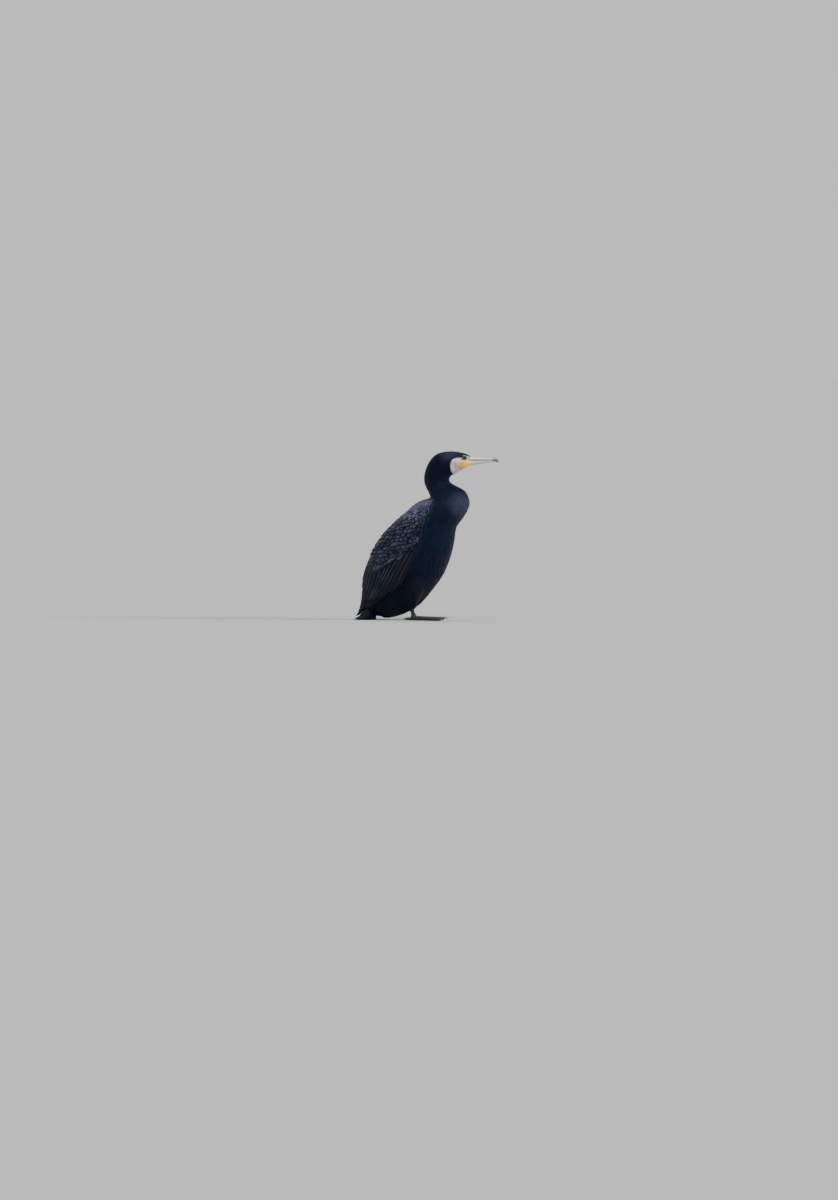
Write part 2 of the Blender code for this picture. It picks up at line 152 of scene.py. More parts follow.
def blur(grid: Array, along_rows: float, round_columns: float = 0.0) -> Array:
    """A Gaussian blur of rows that end and columns that close on themselves.

    Args:
        grid: The numbers.
        along_rows: The blur from row to row, in cells.
        round_columns: The blur from column to column, in cells.

    Returns:
        The blurred grid.
    """
    for axis, sigma, mode in ((0, along_rows, "edge"), (1, round_columns, "wrap")):
        if not sigma:
            continue
        reach = int(math.ceil(3 * sigma))
        weights = np.exp(-0.5 * (np.arange(-reach, reach + 1) / sigma) ** 2)
        pad = [(0, 0)] * grid.ndim
        pad[axis] = (reach, reach)
        padded, size = np.pad(grid, pad, mode=mode), grid.shape[axis]
        moved = (np.take(padded, np.arange(k, k + size), axis=axis) for k in range(len(weights)))
        grid = sum(w * cells for w, cells in zip(weights, moved)) / weights.sum()
    return grid


def distance_to_line(points: Array, line: Sequence[Row]) -> Array:
    """How far points are from a polyline.

    Args:
        points: Places, with their numbers on the last axis.
        line: The polyline's corners, with as many numbers each.

    Returns:
        A distance for each point.
    """
    best = np.full(points.shape[:-1], np.inf)
    corners = np.array(line, float)
    for start, end in zip(corners, corners[1:]):
        run = end - start
        t = np.clip((points - start) @ run / (run @ run), 0, 1)
        best = np.minimum(best, np.linalg.norm(points - start - t[..., None] * run, axis=-1))
    return best


def linked(name: str, data: bpy.types.ID) -> Object:
    """A new object at the origin, in the scene.

    Args:
        name: Its name.
        data: Its mesh, lamp or camera.

    Returns:
        The object.
    """
    thing = bpy.data.objects.new(name, data)
    bpy.context.scene.collection.objects.link(thing)
    return thing


def publish(bm: BMesh, name: str) -> Object:
    """Turns a bmesh, which is freed, into a smooth piece.

    Args:
        bm: The bmesh.
        name: The piece's name.

    Returns:
        The piece.
    """
    mesh = bpy.data.meshes.new(name)
    bm.to_mesh(mesh)
    bm.free()
    mesh.shade_smooth()
    return linked(name, mesh)


def next_ring(bm: BMesh, edges: list[BMEdge]) -> tuple[list[BMVert], list[BMEdge]]:
    """Extrudes a ring of edges.

    Args:
        bm: The mesh.
        edges: The ring.

    Returns:
        The new ring's vertices and its edges.
    """
    grown = bmesh.ops.extrude_edge_only(bm, edges=edges)["geom"]
    ring = [part for part in grown if isinstance(part, BMVert)]
    made = [part for part in grown if isinstance(part, BMEdge)]
    members = set(ring)
    return ring, [edge for edge in made if members.issuperset(edge.verts)]


def tube(path: Array, radii: Array, segments: int, across: float = 1.0) -> BMesh:
    """A closed round tube along a path, with one ring at each of its points.

    Args:
        path: The points of the middle line.
        radii: The radius at each.
        segments: Points round a ring; the first ones lie on the upper side.
        across: The breadth as a share of the height.

    Returns:
        The mesh, with its rings in order.
    """
    bm = bmesh.new()
    bmesh.ops.create_circle(bm, cap_ends=True, segments=segments, radius=1.0)
    rings, edges = [list(bm.verts)], list(bm.edges)
    for _ in path[1:]:
        ring, edges = next_ring(bm, edges)
        rings.append(ring)
    bmesh.ops.contextual_create(bm, geom=edges)
    for ring, centre, way, radius in zip(rings, path, np.gradient(path, axis=0), radii):
        ahead = Vector(way).normalized()
        side = ahead.cross(Vector((0, 0, 1) if abs(ahead.z) < 0.9 else (1, 0, 0))).normalized()
        up = side.cross(ahead)
        for vert in ring:
            x, y = vert.co.x, vert.co.y
            vert.co = Vector(centre) + (side * x * across + up * y) * radius
    bmesh.ops.recalc_face_normals(bm, faces=bm.faces)
    return bm


def round_end(bm: BMesh, edges: list[BMEdge], out: Vector, bulge: float) -> None:
    """Closes an open ring with a rounded cap.

    Args:
        bm: The mesh.
        edges: The open ring.
        out: The way the cap faces.
        bulge: The cap's height as a share of the ring's size.
    """
    ring = list({vert for edge in edges for vert in edge.verts})
    centre = sum((vert.co for vert in ring), Vector()) / len(ring)
    size = max((vert.co - centre).length for vert in ring)
    scale, height = 1.0, 0.0
    for turn in CAP_RINGS:
        ring, edges = next_ring(bm, edges)
        rise = out * (size * bulge * (turn - height))
        smaller = math.sqrt(1 - turn * turn)
        for vert in ring:
            vert.co = centre + (vert.co - centre) * (smaller / scale) + rise
        centre, scale, height = centre + rise, smaller, turn
    bmesh.ops.pointmerge(bm, verts=ring, merge_co=centre + out * (size * bulge * (1 - height)))


def places(mesh: Mesh) -> Array:
    """The mesh's vertices, one row each.

    Args:
        mesh: The mesh.

    Returns:
        Points with a last axis of 3.
    """
    flat = np.empty(len(mesh.vertices) * 3, np.float32)
    mesh.vertices.foreach_get("co", flat)
    return flat.reshape(-1, 3).astype(float)


def mark(mesh: Mesh, **values: Array) -> None:
    """Writes numbers for the vertices, an attribute for each name."""
    for name, numbers in values.items():
        layer = mesh.attributes.new(name, "FLOAT", "POINT")
        layer.data.foreach_set("value", numbers.astype(np.float32).ravel())


def applied(piece: Object) -> Object:
    """The piece, with its modifiers applied to its mesh.

    Args:
        piece: The piece.

    Returns:
        The same piece.
    """
    graph = bpy.context.evaluated_depsgraph_get()
    mesh = bpy.data.meshes.new_from_object(piece.evaluated_get(graph), depsgraph=graph)
    piece.modifiers.clear()
    old, piece.data = piece.data, mesh
    mesh.name = piece.name
    bpy.data.meshes.remove(old)
    return piece


def dress(piece: Object, material: Material, stands_for: Iterable[str] = ()) -> None:
    """Gives a piece its material and its place in the frame.

    Args:
        piece: The finished piece.
        material: Its finish.
        stands_for: The CAD nodes that it replaces.
    """
    piece.data.materials.clear()
    piece.data.materials.append(material)
    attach(piece, BODY)
    for node in stands_for:
        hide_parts(node)
    triangles = sum(len(face.vertices) - 2 for face in piece.data.polygons)
    log.info("%s: %d triangles", piece.name, triangles)


# ---------------------------------------------------------------- charts


@dataclass
class Chart:
    """A map of a surface: s runs along it from 0 to 1, and a column value runs across.

    Attributes:
        points: Places in metres, as rows by columns by 3.
        low: The first column's value.
        high: The last column's value, or where the columns close.
        closed: Whether the columns close on themselves.
        outward: A point for each row that the surface faces away from.
    """

    points: Array
    low: float
    high: float
    closed: bool
    outward: Array

    def __post_init__(self) -> None:
        """Works out the normals and how far the surface runs for each unit of s and column."""
        p = self.points
        rows, columns = p.shape[:2]
        self.by_s = np.gradient(p, axis=0) * (rows - 1)
        if self.closed:
            by_c = (np.roll(p, -1, axis=1) - np.roll(p, 1, axis=1)) / 2
            self.by_c = by_c * (columns / (self.high - self.low))
        else:
            self.by_c = np.gradient(p, axis=1) * ((columns - 1) / (self.high - self.low))
        normal = np.cross(self.by_s, self.by_c)
        normal /= np.maximum(np.linalg.norm(normal, axis=2, keepdims=True), 1e-12)
        away = np.einsum("ijk,ijk->ij", normal, p - self.outward[:, None, :])
        self.normals = blur(normal * np.sign(away.mean()), 1.0)
        self.stretch_s = np.maximum(np.linalg.norm(self.by_s, axis=2), 1e-5)
        self.stretch_c = np.maximum(np.linalg.norm(self.by_c, axis=2), 1e-5)

    def sample(self, grid: Array, s: Array, c: Array) -> Array:
        """Reads a grid between its cells.

        Args:
            grid: Rows by columns, with or without a last axis.
            s: Places along the surface.
            c: Column values, of the same shape.

        Returns:
            The grid's value at each place.
        """
        rows, columns = grid.shape[:2]
        r = np.clip(s, 0, 1) * (rows - 1)
        share = (c - self.low) / (self.high - self.low)
        k = share % 1.0 * columns if self.closed else np.clip(share, 0, 1) * (columns - 1)
        i = np.minimum(r.astype(int), rows - 2)
        j = np.minimum(k.astype(int), columns - (1 if self.closed else 2))
        v, u = r - i, k - j
        if grid.ndim == 3:
            v, u = v[..., None], u[..., None]
        j2 = (j + 1) % columns
        upper = grid[i, j] * (1 - u) + grid[i, j2] * u
        lower = grid[i + 1, j] * (1 - u) + grid[i + 1, j2] * u
        return upper * (1 - v) + lower * v

    def at(self, s: Array, c: Array, lift: Array | float = 0.0) -> Array:
        """Places on the surface, or a lift above it; past its end the surface runs straight on.

        Args:
            s: Places along the surface.
            c: Column values.
            lift: Heights over the surface in metres.

        Returns:
            Points with a last axis of 3.
        """
        normal = self.sample(self.normals, s, c)
        normal = normal / np.maximum(np.linalg.norm(normal, axis=-1, keepdims=True), 1e-9)
        past = (s - np.clip(s, 0, 1))[..., None] * self.sample(self.by_s, s, c)
        spot = self.sample(self.points, s, c) + past
        return spot + normal * np.broadcast_to(lift, s.shape)[..., None]

    def run(self, start: Array, end: Array, column: Array, steps: int) -> Array:
        """How far the surface runs between two places on each column, in metres.

        Args:
            start: Where each stretch starts.
            end: Where it ends.
            column: Its column value.
            steps: At how many points it is measured.

        Returns:
            A length for each column.
        """
        t = np.linspace(0, 1, steps)[:, None]
        path = self.at(start + (end - start) * t, np.broadcast_to(column, (steps, len(column))))
        return run_along(path)[-1]

    def lanes(
        self,
        start: Array,
        end: Array | float,
        column: Array,
        spacing: float,
        pace_of: Callable[[Array], Array],
        rng: np.random.Generator,
        loose: float = 0.0,
        stagger: bool = False,
    ) -> Array:
        """Places roots a pace apart on lanes that run along the surface.

        Args:
            start: Where each lane starts.
            end: Where it ends.
            column: Its column value.
            spacing: From one lane to the next, in column values.
            pace_of: Gives each lane's pace for its width, both in metres.
            rng: Shakes the roots.
            loose: How far it shakes them, in paces and lane widths.
            stagger: Whether every other lane starts half a pace on.

        Returns:
            Each root's s, column value, pace and lane width.
        """
        s, parts = start, []
        while (s < end).any():
            width = self.sample(self.stretch_c, s, column) * spacing
            pace = pace_of(width)
            step = pace / self.sample(self.stretch_s, s, column)
            if stagger:
                s, stagger = s + np.arange(len(s)) % 2 * 0.5 * step, False
                continue
            shake = rng.uniform(-loose, loose, (2, len(s))) if loose else np.zeros((2, len(s)))
            roots = np.stack([s + shake[0] * step, column + shake[1] * spacing, pace, width])
            parts.append(roots[:, s < end])
            s = s + step
        return np.concatenate(parts, axis=1)


@dataclass(frozen=True)
class Section:
    """A section of a tapering part: its upper and lower points in side view, and half its width."""

    name: str
    top: tuple[float, float]
    bottom: tuple[float, float]
    half: float = 0.0


def section_lines(sections: Sequence[Section], count: int) -> Array:
    """Evenly spaced rows of top x and z, bottom x and z, and half width."""
    return along([(*section.top, *section.bottom, section.half) for section in sections], count)


@dataclass
class BirdChart:
    """Finds the bird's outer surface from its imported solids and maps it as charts."""

    ribs: tuple[Section, ...] = (  # from the back to the front
        Section("bill root", (0.1233, 0.4417), (0.1137, 0.4153)),
        Section("brow", (0.1150, 0.4468), (0.1066, 0.4098)),
        Section("eye", (0.1042, 0.4509), (0.0987, 0.4058)),
        Section("crown", (0.0713, 0.4563), (0.0822, 0.3964)),
        Section("hind crown", (0.0315, 0.4501), (0.0685, 0.3888)),
        Section("nape", (0.0069, 0.4253), (0.0644, 0.3812)),
        Section("throat", (-0.0049, 0.3915), (0.0658, 0.3726)),
        Section("neck middle", (-0.0038, 0.3672), (0.0822, 0.3623)),
        Section("neck bend", (0.0062, 0.3450), (0.1083, 0.3483)),
        Section("neck root", (0.0108, 0.3290), (0.1201, 0.3200)),
        Section("mantle", (-0.0165, 0.3180), (0.1159, 0.2984)),
        Section("shoulder", (-0.0455, 0.2900), (0.1009, 0.2741)),
        Section("breast", (-0.0805, 0.2580), (0.0836, 0.2498)),
        Section("chest", (-0.1080, 0.2240), (0.0787, 0.2160)),
        Section("belly", (-0.1300, 0.1870), (0.0699, 0.1755)),
        Section("low belly", (-0.1465, 0.1480), (0.0507, 0.1261)),
        Section("loin", (-0.1572, 0.1090), (0.0233, 0.0869)),
        Section("vent", (-0.1612, 0.0720), (-0.0137, 0.0435)),
        Section("rump", (-0.1625, 0.0470), (-0.0600, 0.0155)),
        Section("tail coverts", (-0.1620, 0.0310), (-0.1010, 0.0055)),
        Section("wing tip middle", (-0.1835, 0.0270), (-0.1500, 0.0160)),
        Section("wing tip end", (-0.1880, 0.0150), (-0.1700, 0.0100)),
    )
    hand_ribs: ClassVar[tuple[Section, ...]] = (
        Section("rump", (-0.1625, 0.0470), (-0.0900, 0.0247)),
        Section("hand middle", (-0.1825, 0.0360), (-0.1350, 0.0210)),
        Section("hand end", (-0.1850, 0.0240), (-0.1600, 0.0140)),
        Section("hand tip", (-0.1880, 0.0145), (-0.1760, 0.0105)),
    )
    kinds: ClassVar[dict[int, tuple[str, ...]]] = {
        0: ("head", "neck_upper", "neck_lower", "gular_skin", "trunk"),
        1: ("wing_left", "wing_right", "primaries_left", "primaries_right"),
        2: ("eye_left", "eye_right"),
    }
    row_step: float = 1.4 * MM
    columns: int = 180
    gap: float = 1.6 * MM  # solids nearer than this to each other are one flesh
    reach: float = 0.16
    body_end_rib: str = "tail coverts"
    thigh_rows: tuple[str, str] = ("belly", "tail coverts")
    thigh_fade: tuple[float, float] = (0.048, 0.072)
    blend: float = 14 * MM  # over which a thigh melts into the flank
    outside_from: str = "rump"  # from here on the wing tips stand clear of the body
    edge_blur: float = 12.0  # rows
    wing_columns: int = 121
    overhang: float = 1.2  # how far the wing chart reaches, in widths of the wing

    def __post_init__(self) -> None:
        """Casts the rays and builds the charts of the body and of the folded wings."""
        self.read_solids()
        self.lay_centre_line()
        radius, hit = self.cast()
        radius = self.bridge_cuts(self.fill_eyes(radius, hit))
        radius = blur(radius, 1.6, 1.5)
        radius = radius + self.thigh_bulge(radius)
        points = self.centres[:, None, :] + radius[..., None] * self.ways
        self.body = Chart(points, 0.0, TURN, True, self.centres)
        at = np.arange(radius.size).reshape(radius.shape)
        nxt = np.roll(at, -1, axis=1)
        quads = np.stack([at[:-1], nxt[:-1], nxt[1:], at[1:]], axis=-1).reshape(-1, 4)
        self.surface = BVHTree.FromPolygons(points.reshape(-1, 3).tolist(), quads.tolist())
        self.find_wing_edge((hit == 1).astype(float))
        self.wing = self.wing_chart()

    @classmethod
    def of_wings(cls) -> BirdChart:
        """The chart with its last rows laid across the wing tips instead of the tail coverts."""
        ribs = cls.ribs[: [rib.name for rib in cls.ribs].index("rump")]
        return cls(ribs=(*ribs, *cls.hand_ribs), thigh_rows=("belly", "rump"))

    @staticmethod
    def corners(node: str, first: int = 0) -> tuple[list[Vector], list[list[int]]]:
        """A solid's vertices and faces, with its vertices counted from a first number.

        Args:
            node: The solid's node.
            first: The number of its first vertex.

        Returns:
            Its vertices, and its faces as lists of their numbers.
        """
        mesh = bpy.data.objects[node].data
        faces = [[first + i for i in face.vertices] for face in mesh.polygons]
        return [vert.co.copy() for vert in mesh.vertices], faces

    def read_solids(self) -> None:
        """Joins the flesh nodes in one search tree and remembers which triangle is whose."""
        spots, faces, self.kind_of_face = [], [], []
        for kind, nodes in self.kinds.items():
            for node in nodes:
                more, corners = self.corners(node, len(spots))
                spots += more
                faces += corners
                self.kind_of_face += [kind] * len(corners)
        self.tree = BVHTree.FromPolygons(spots, faces)

    def lay_centre_line(self) -> None:
        """Spaces the rows along the middle of the ribs, and points the columns out from it."""
        back = np.array([rib.top for rib in self.ribs])
        front = np.array([rib.bottom for rib in self.ribs])
        lean = np.unwrap(np.arctan2(*(back - front).T[::-1]))
        t = np.linspace(0, len(back) - 1, 4000)
        fine = spline(np.column_stack([(back + front) / 2, lean]), t)
        run = run_along(fine[:, :2])
        self.length = run[-1]
        self.rows = int(self.length / self.row_step) + 1
        self.share = np.linspace(0, 1, self.rows)
        x, z, lean = (np.interp(self.share * self.length, run, axis) for axis in fine.T)
        zero = np.zeros_like(x)
        self.centres = np.stack([x, zero, z], axis=1)
        up = np.stack([np.cos(lean), zero, np.sin(lean)], axis=1)
        angle = (np.arange(self.columns) * TURN / self.columns)[None, :, None]
        self.ways = np.cos(angle) * up[:, None, :] + np.sin(angle) * np.array([0.0, 1.0, 0.0])
        shares = np.interp(np.arange(len(back)), t, run / self.length)
        self.s_of_rib = {rib.name: s for rib, s in zip(self.ribs, shares)}

    def walk_out(self, start: Vector, way: Vector) -> tuple[float, int]:
        """Follows a ray out through the flesh.

        Args:
            start: The row's centre.
            way: The ray's unit vector.

        Returns:
            The distance of the skin's outer side, and whose surface it is.
        """
        best, kind, at = 0.0, -1, 0.0
        while at < self.reach:
            place, normal, index, step = self.tree.ray_cast(start + way * at, way, self.reach)
            if place is None:
                break
            distance, leaving = at + step, normal.dot(way) > 0
            if not leaving and kind >= 0 and distance - best > self.gap:
                break
            if leaving:
                best, kind = distance, self.kind_of_face[index]
            at = distance + 2e-5
        return best, kind

    def look_in(self, start: Vector, way: Vector) -> tuple[float, int]:
        """The same, seen from outside, for rows whose centre is outside the flesh."""
        place, _, index, step = self.tree.ray_cast(start + way * self.reach, -way, self.reach)
        return (0.0, -1) if place is None else (self.reach - step, self.kind_of_face[index])

    def cast(self) -> tuple[Array, Array]:
        """Casts each row's rays on the left side and mirrors them.

        Returns:
            The radius and the kind of flesh at each row and column.
        """
        half = self.columns // 2
        radius = np.zeros((self.rows, self.columns))
        hit = np.full((self.rows, self.columns), -1)
        for i in range(self.rows):
            inside = self.share[i] <= self.s_of_rib[self.outside_from]
            find = self.walk_out if inside else self.look_in
            for j in range(half + 1):
                radius[i, j], hit[i, j] = find(Vector(self.centres[i]), Vector(self.ways[i, j]))
        for grid in (radius, hit):
            grid[:, half + 1 :] = grid[:, half - 1 : 0 : -1]
        missed = radius < 1e-4
        columns = np.arange(self.columns)
        for i in np.nonzero(missed.any(axis=1))[0]:
            good = ~missed[i]
            if good.sum() > 2:
                radius[i] = np.interp(columns, columns[good], radius[i, good], period=self.columns)
            elif i:
                radius[i] = radius[i - 1]
        return radius, hit

    def fill_eyes(self, radius: Array, hit: Array) -> Array:
        """Closes the head over the eyeballs, as far as the skin round them suggests.

        Args:
            radius: The radius at each row and column.
            hit: The kind of flesh there.

        Returns:
            The radius without the eyeballs.
        """
        hole = blur((hit == 2).astype(float), 1.0, 1.0) > 0.02
        filled = radius.copy()
        for _ in range(400):
            mean = sum(np.roll(filled, step, axis) for axis in (0, 1) for step in (1, -1)) / 4
            filled[hole] = mean[hole]
        return filled

    def bridge_cuts(self, radius: Array) -> Array:
        """Takes the middle value of each few cells, so that a thin cut between solids is closed.

        Args:
            radius: The radius at each row and column.

        Returns:
            The same without the cuts.
        """
        rows = np.arange(self.rows)
        near = [radius[np.clip(rows + k, 0, self.rows - 1)] for k in range(-4, 5)]
        radius = np.median(np.stack(near), axis=0)
        return np.median(np.stack([np.roll(radius, k, 1) for k in range(-2, 3)]), axis=0)

    def thigh_bulge(self, radius: Array) -> Array:
        """How far the thighs push the flank's coat out.

        Args:
            radius: The trunk's radius at each row and column.

        Returns:
            What to add to it.
        """
        more = np.zeros_like(radius)
        first, last = (int(self.s_of_rib[name] * self.rows) for name in self.thigh_rows)
        half = self.columns // 2
        for word, columns in (("left", range(1, half)), ("right", range(half + 1, self.columns))):
            thigh = BVHTree.FromPolygons(*self.corners(f"thigh_{word}"))
            for i in range(first, last):
                for j in columns:
                    way = Vector(self.ways[i, j])
                    start = Vector(self.centres[i]) + way * self.reach
                    place, _, _, step = thigh.ray_cast(start, -way, self.reach)
                    if place is None:
                        continue
                    over = self.reach - step - radius[i, j]
                    share = min(max(0.5 + 0.5 * over / self.blend, 0.0), 1.0)
                    rise = over * share + self.blend * share * (1 - share)
                    more[i, j] = rise * smoothstep(*self.thigh_fade, place.z)
        return blur(more, 3.0, 2.2)

    def find_wing_edge(self, wing: Array) -> None:
        """Finds how far round the body the folded wing reaches on each row.

        Args:
            wing: 1 where a ray met the wing, at each row and column.
        """
        half = self.columns // 2
        angles = np.arange(half + 1) * TURN / self.columns
        reach = np.array([angles[row > 0.5].max(initial=0.0) for row in wing[:, : half + 1]])
        rows = np.nonzero(reach > math.radians(8))[0]
        self.wing_start = self.share[rows[0]]
        self.wing_edge = blur(np.interp(np.arange(self.rows), rows, reach[rows]), self.edge_blur)

    def wing_chart(self) -> Chart:
        """The folded wings as a chart of their own.

        Returns:
            A chart whose column value is 0 on the back, 1 on the left wing's lower edge
            and -1 on the right wing's.
        """
        columns = np.linspace(-self.overhang, self.overhang, self.wing_columns)
        s = np.linspace(self.wing_start, 1, int((1 - self.wing_start) * (self.rows - 1)))
        edge = np.interp(s, self.share, self.wing_edge)
        points = self.body.at(np.repeat(s[:, None], len(columns), 1), edge[:, None] * columns)
        middle = [np.interp(s, self.share, axis) for axis in self.centres.T]
        return Chart(points, -self.overhang, self.overhang, False, np.stack(middle, axis=1))

    def depth(self, spot: Vector) -> float:
        """How deep a place lies under the charted body, less than 0 outside it.

        Args:
            spot: The place.

        Returns:
            Metres.
        """
        near, _, index, distance = self.surface.find_nearest(spot)
        centre = Vector(self.centres[index // self.columns])
        return distance if (spot - near).dot(near - centre) < 0 else -distance

    def in_wing(self, s: Array, angle: Array) -> Array:
        """How far round the wing a place is.

        Args:
            s: Places along the body.
            angle: Angles round it.

        Returns:
            The share of the wing's reach, over 1 beside it, or 9 in front of the wing.
        """
        edge = np.interp(s, self.share, self.wing_edge)
        off_back = np.abs((angle + math.pi) % TURN - math.pi)
        return np.where(s < self.wing_start, 9.0, off_back / np.maximum(edge, 1e-3))


# ---------------------------------------------------------------- legs


@dataclass(frozen=True)
class Toe:
    """One toe: lengths in metres, bearing out from straight ahead in degrees."""

    name: str
    length: float
    bearing: float
    radius: float
    joints: int


TOES = (
    Toe("hind", 0.034, -118.0, 0.0036, 1),
    Toe("inner", 0.052, -30.0, 0.0040, 2),
    Toe("middle", 0.072, -1.0, 0.0043, 3),
    Toe("outer", 0.086, 27.0, 0.0044, 4),
)


@dataclass
class Leg:
    """One leg: where its foot stands, and its feathered thigh as a chart."""

    side: int
    foot_x: float
    hip_across: float = 0.036
    thigh_rings: tuple[Row, ...] = (  # height, back, inward of the foot, radius
        (0.1420, 0.004, 0.0120, 0.0160),
        (0.1200, 0.002, 0.0060, 0.0270),
        (0.0900, 0.000, 0.0020, 0.0295),
        (0.0640, -0.003, 0.0000, 0.0225),
        (0.0450, -0.006, 0.0000, 0.0145),
        (0.0335, -0.0065, 0.0000, 0.0102),
    )
    rows: int = 60
    columns: int = 60

    def __post_init__(self) -> None:
        """Charts the thigh; its columns start in front and turn to the left."""
        self.word = "left" if self.side > 0 else "right"
        self.root = Vector((self.foot_x, self.hip_across * self.side, 0))
        lines = [
            (self.foot_x + back, self.side * (self.hip_across - inward), z, radius)
            for z, back, inward, radius in self.thigh_rings
        ]
        lines = along(lines, self.rows)
        angle = np.arange(self.columns) * TURN / self.columns
        ring = np.stack([np.cos(angle), np.sin(angle), np.zeros_like(angle)], axis=1)
        points = lines[:, None, :3] + lines[:, 3][:, None, None] * ring[None]
        self.thigh = Chart(points, 0.0, TURN, True, lines[:, :3])


# ---------------------------------------------------------------- markings


@dataclass(frozen=True)
class Markings:
    """Where the head is white and where it is bare, in side view, in metres.

    The skin and the coat read the same borders, which are listed from below.
    """

    bare_edge: Line = (
        (0.1100, 0.3900), (0.1050, 0.4030), (0.0985, 0.4100), (0.0950, 0.4150), (0.0940, 0.4210),
        (0.0972, 0.4282), (0.1030, 0.4306), (0.1120, 0.4312), (0.1280, 0.4322),
    )
    gape_corner: int = 6  # the bare edge runs from the throat to its corner
    blush_width: float = 6.0 * MM
    lore: Line = ((0.1290, 0.4345), (0.1190, 0.4350), (0.1080, 0.4346), (0.1010, 0.4332))
    lore_width: float = 5.2 * MM
    brow: Line = ((0.1052, 0.4437), (0.1100, 0.4434), (0.1150, 0.4412), (0.1210, 0.4378))
    brow_width: float = 2.2 * MM
    streak_middle: tuple[float, float] = (0.0853, 0.4172)
    streak_lean: float = 56.0  # degrees that the painted shadow lines on the cheek run down
    streak_pitch: float = 4.4 * MM
    streak_reach: tuple[float, float] = (13 * MM, 7 * MM)  # along and across
    white_back: Line = (
        (0.0770, 0.3900), (0.0725, 0.4060), (0.0715, 0.4200), (0.0760, 0.4330), (0.0900, 0.4400),
    )
    white_front: tuple[float, float] = (0.1085, 0.1035)
    eye: tuple[float, float] = (0.1078, 0.4385)
    eye_ring: float = 5.4 * MM
    soft: float = 1.6 * MM

    @staticmethod
    def border(line: Line, z: Array) -> Array:
        """How far ahead a border runs at each height."""
        return np.interp(z, [spot[1] for spot in line], [spot[0] for spot in line])

    @staticmethod
    def near(x: Array, z: Array, line: Line, width: float) -> Array:
        """How near a line a place is: 1 well inside its width, 0 outside it."""
        return smoothstep(width, width * 0.6, distance_to_line(np.stack([x, z], axis=-1), line))

    def from_eye(self, x: Array, z: Array) -> Array:
        """How far a place is from the eye's middle."""
        return np.hypot(x - self.eye[0], z - self.eye[1])

    def bare(self, x: Array, z: Array) -> Array:
        """How far the skin is bare and yellow, from 0 to 1."""
        limit = np.where(z > self.bare_edge[-1][1], 1.0, self.border(self.bare_edge, z))
        return smoothstep(-self.soft, self.soft, x - limit)

    def pale_brow(self, x: Array, z: Array) -> Array:
        """The pale crescent of skin over and in front of the eye."""
        return self.near(x, z, self.brow, self.brow_width)

    def naked(self, x: Array, z: Array) -> Array:
        """Where no feather grows: the bare skin, the lores, the brow and the ring round the eye.

        Args:
            x: How far ahead each place is.
            z: Its height.

        Returns:
            Numbers from 0 to 1.
        """
        lore = self.near(x, z, self.lore, self.lore_width)
        edge = 0.5 * MM
        ring = smoothstep(self.eye_ring + edge, self.eye_ring - edge, self.from_eye(x, z))
        return np.maximum.reduce([self.bare(x, z), lore, ring, self.pale_brow(x, z)])

    def blush(self, x: Array, z: Array) -> Array:
        """The peach band where the white feathers meet the yellow skin."""
        edge = self.bare_edge[: self.gape_corner]
        return self.near(x, z, edge, self.blush_width) * smoothstep(0.4300, 0.4260, z)

    def streaks(self, x: Array, z: Array) -> Array:
        """Painted shadow lines between the white feathers, running down and forward over the white
        cheek.

        Args:
            x: How far ahead each place is.
            z: Its height.

        Returns:
            How dark it is, from 0 to 1.
        """
        lean = math.radians(self.streak_lean)
        x, z = x - self.streak_middle[0], z - self.streak_middle[1]
        run = x * math.cos(lean) - z * math.sin(lean)
        off = x * math.sin(lean) + z * math.cos(lean)
        dark = np.cos(math.pi * off / self.streak_pitch + 0.7 * np.sin(run * 380)) ** 4
        for way, reach, full in zip((run, off), self.streak_reach, (0.5, 0.6)):
            dark = dark * smoothstep(reach, reach * full, np.abs(way))
        return dark

    def white(self, x: Array, z: Array) -> Array:
        """How white the cheek and throat are, less where the painted shadow lines cross them.

        Args:
            x: How far ahead each place is.
            z: Its height.

        Returns:
            Numbers from 0 to 1.
        """
        ahead = smoothstep(-2.0 * MM, 2.5 * MM, x - self.border(self.white_back, z))
        (_, lowest), (_, highest) = self.white_back[0], self.white_back[-1]
        high = smoothstep(highest - 0.5 * MM, highest - 4 * MM, z)
        low = smoothstep(lowest - 1 * MM, lowest + 4 * MM, z)
        front = smoothstep(*self.white_front, x)
        return ahead * high * low * front * (1 - 0.95 * self.streaks(x, z))


# ---------------------------------------------------------------- finishes


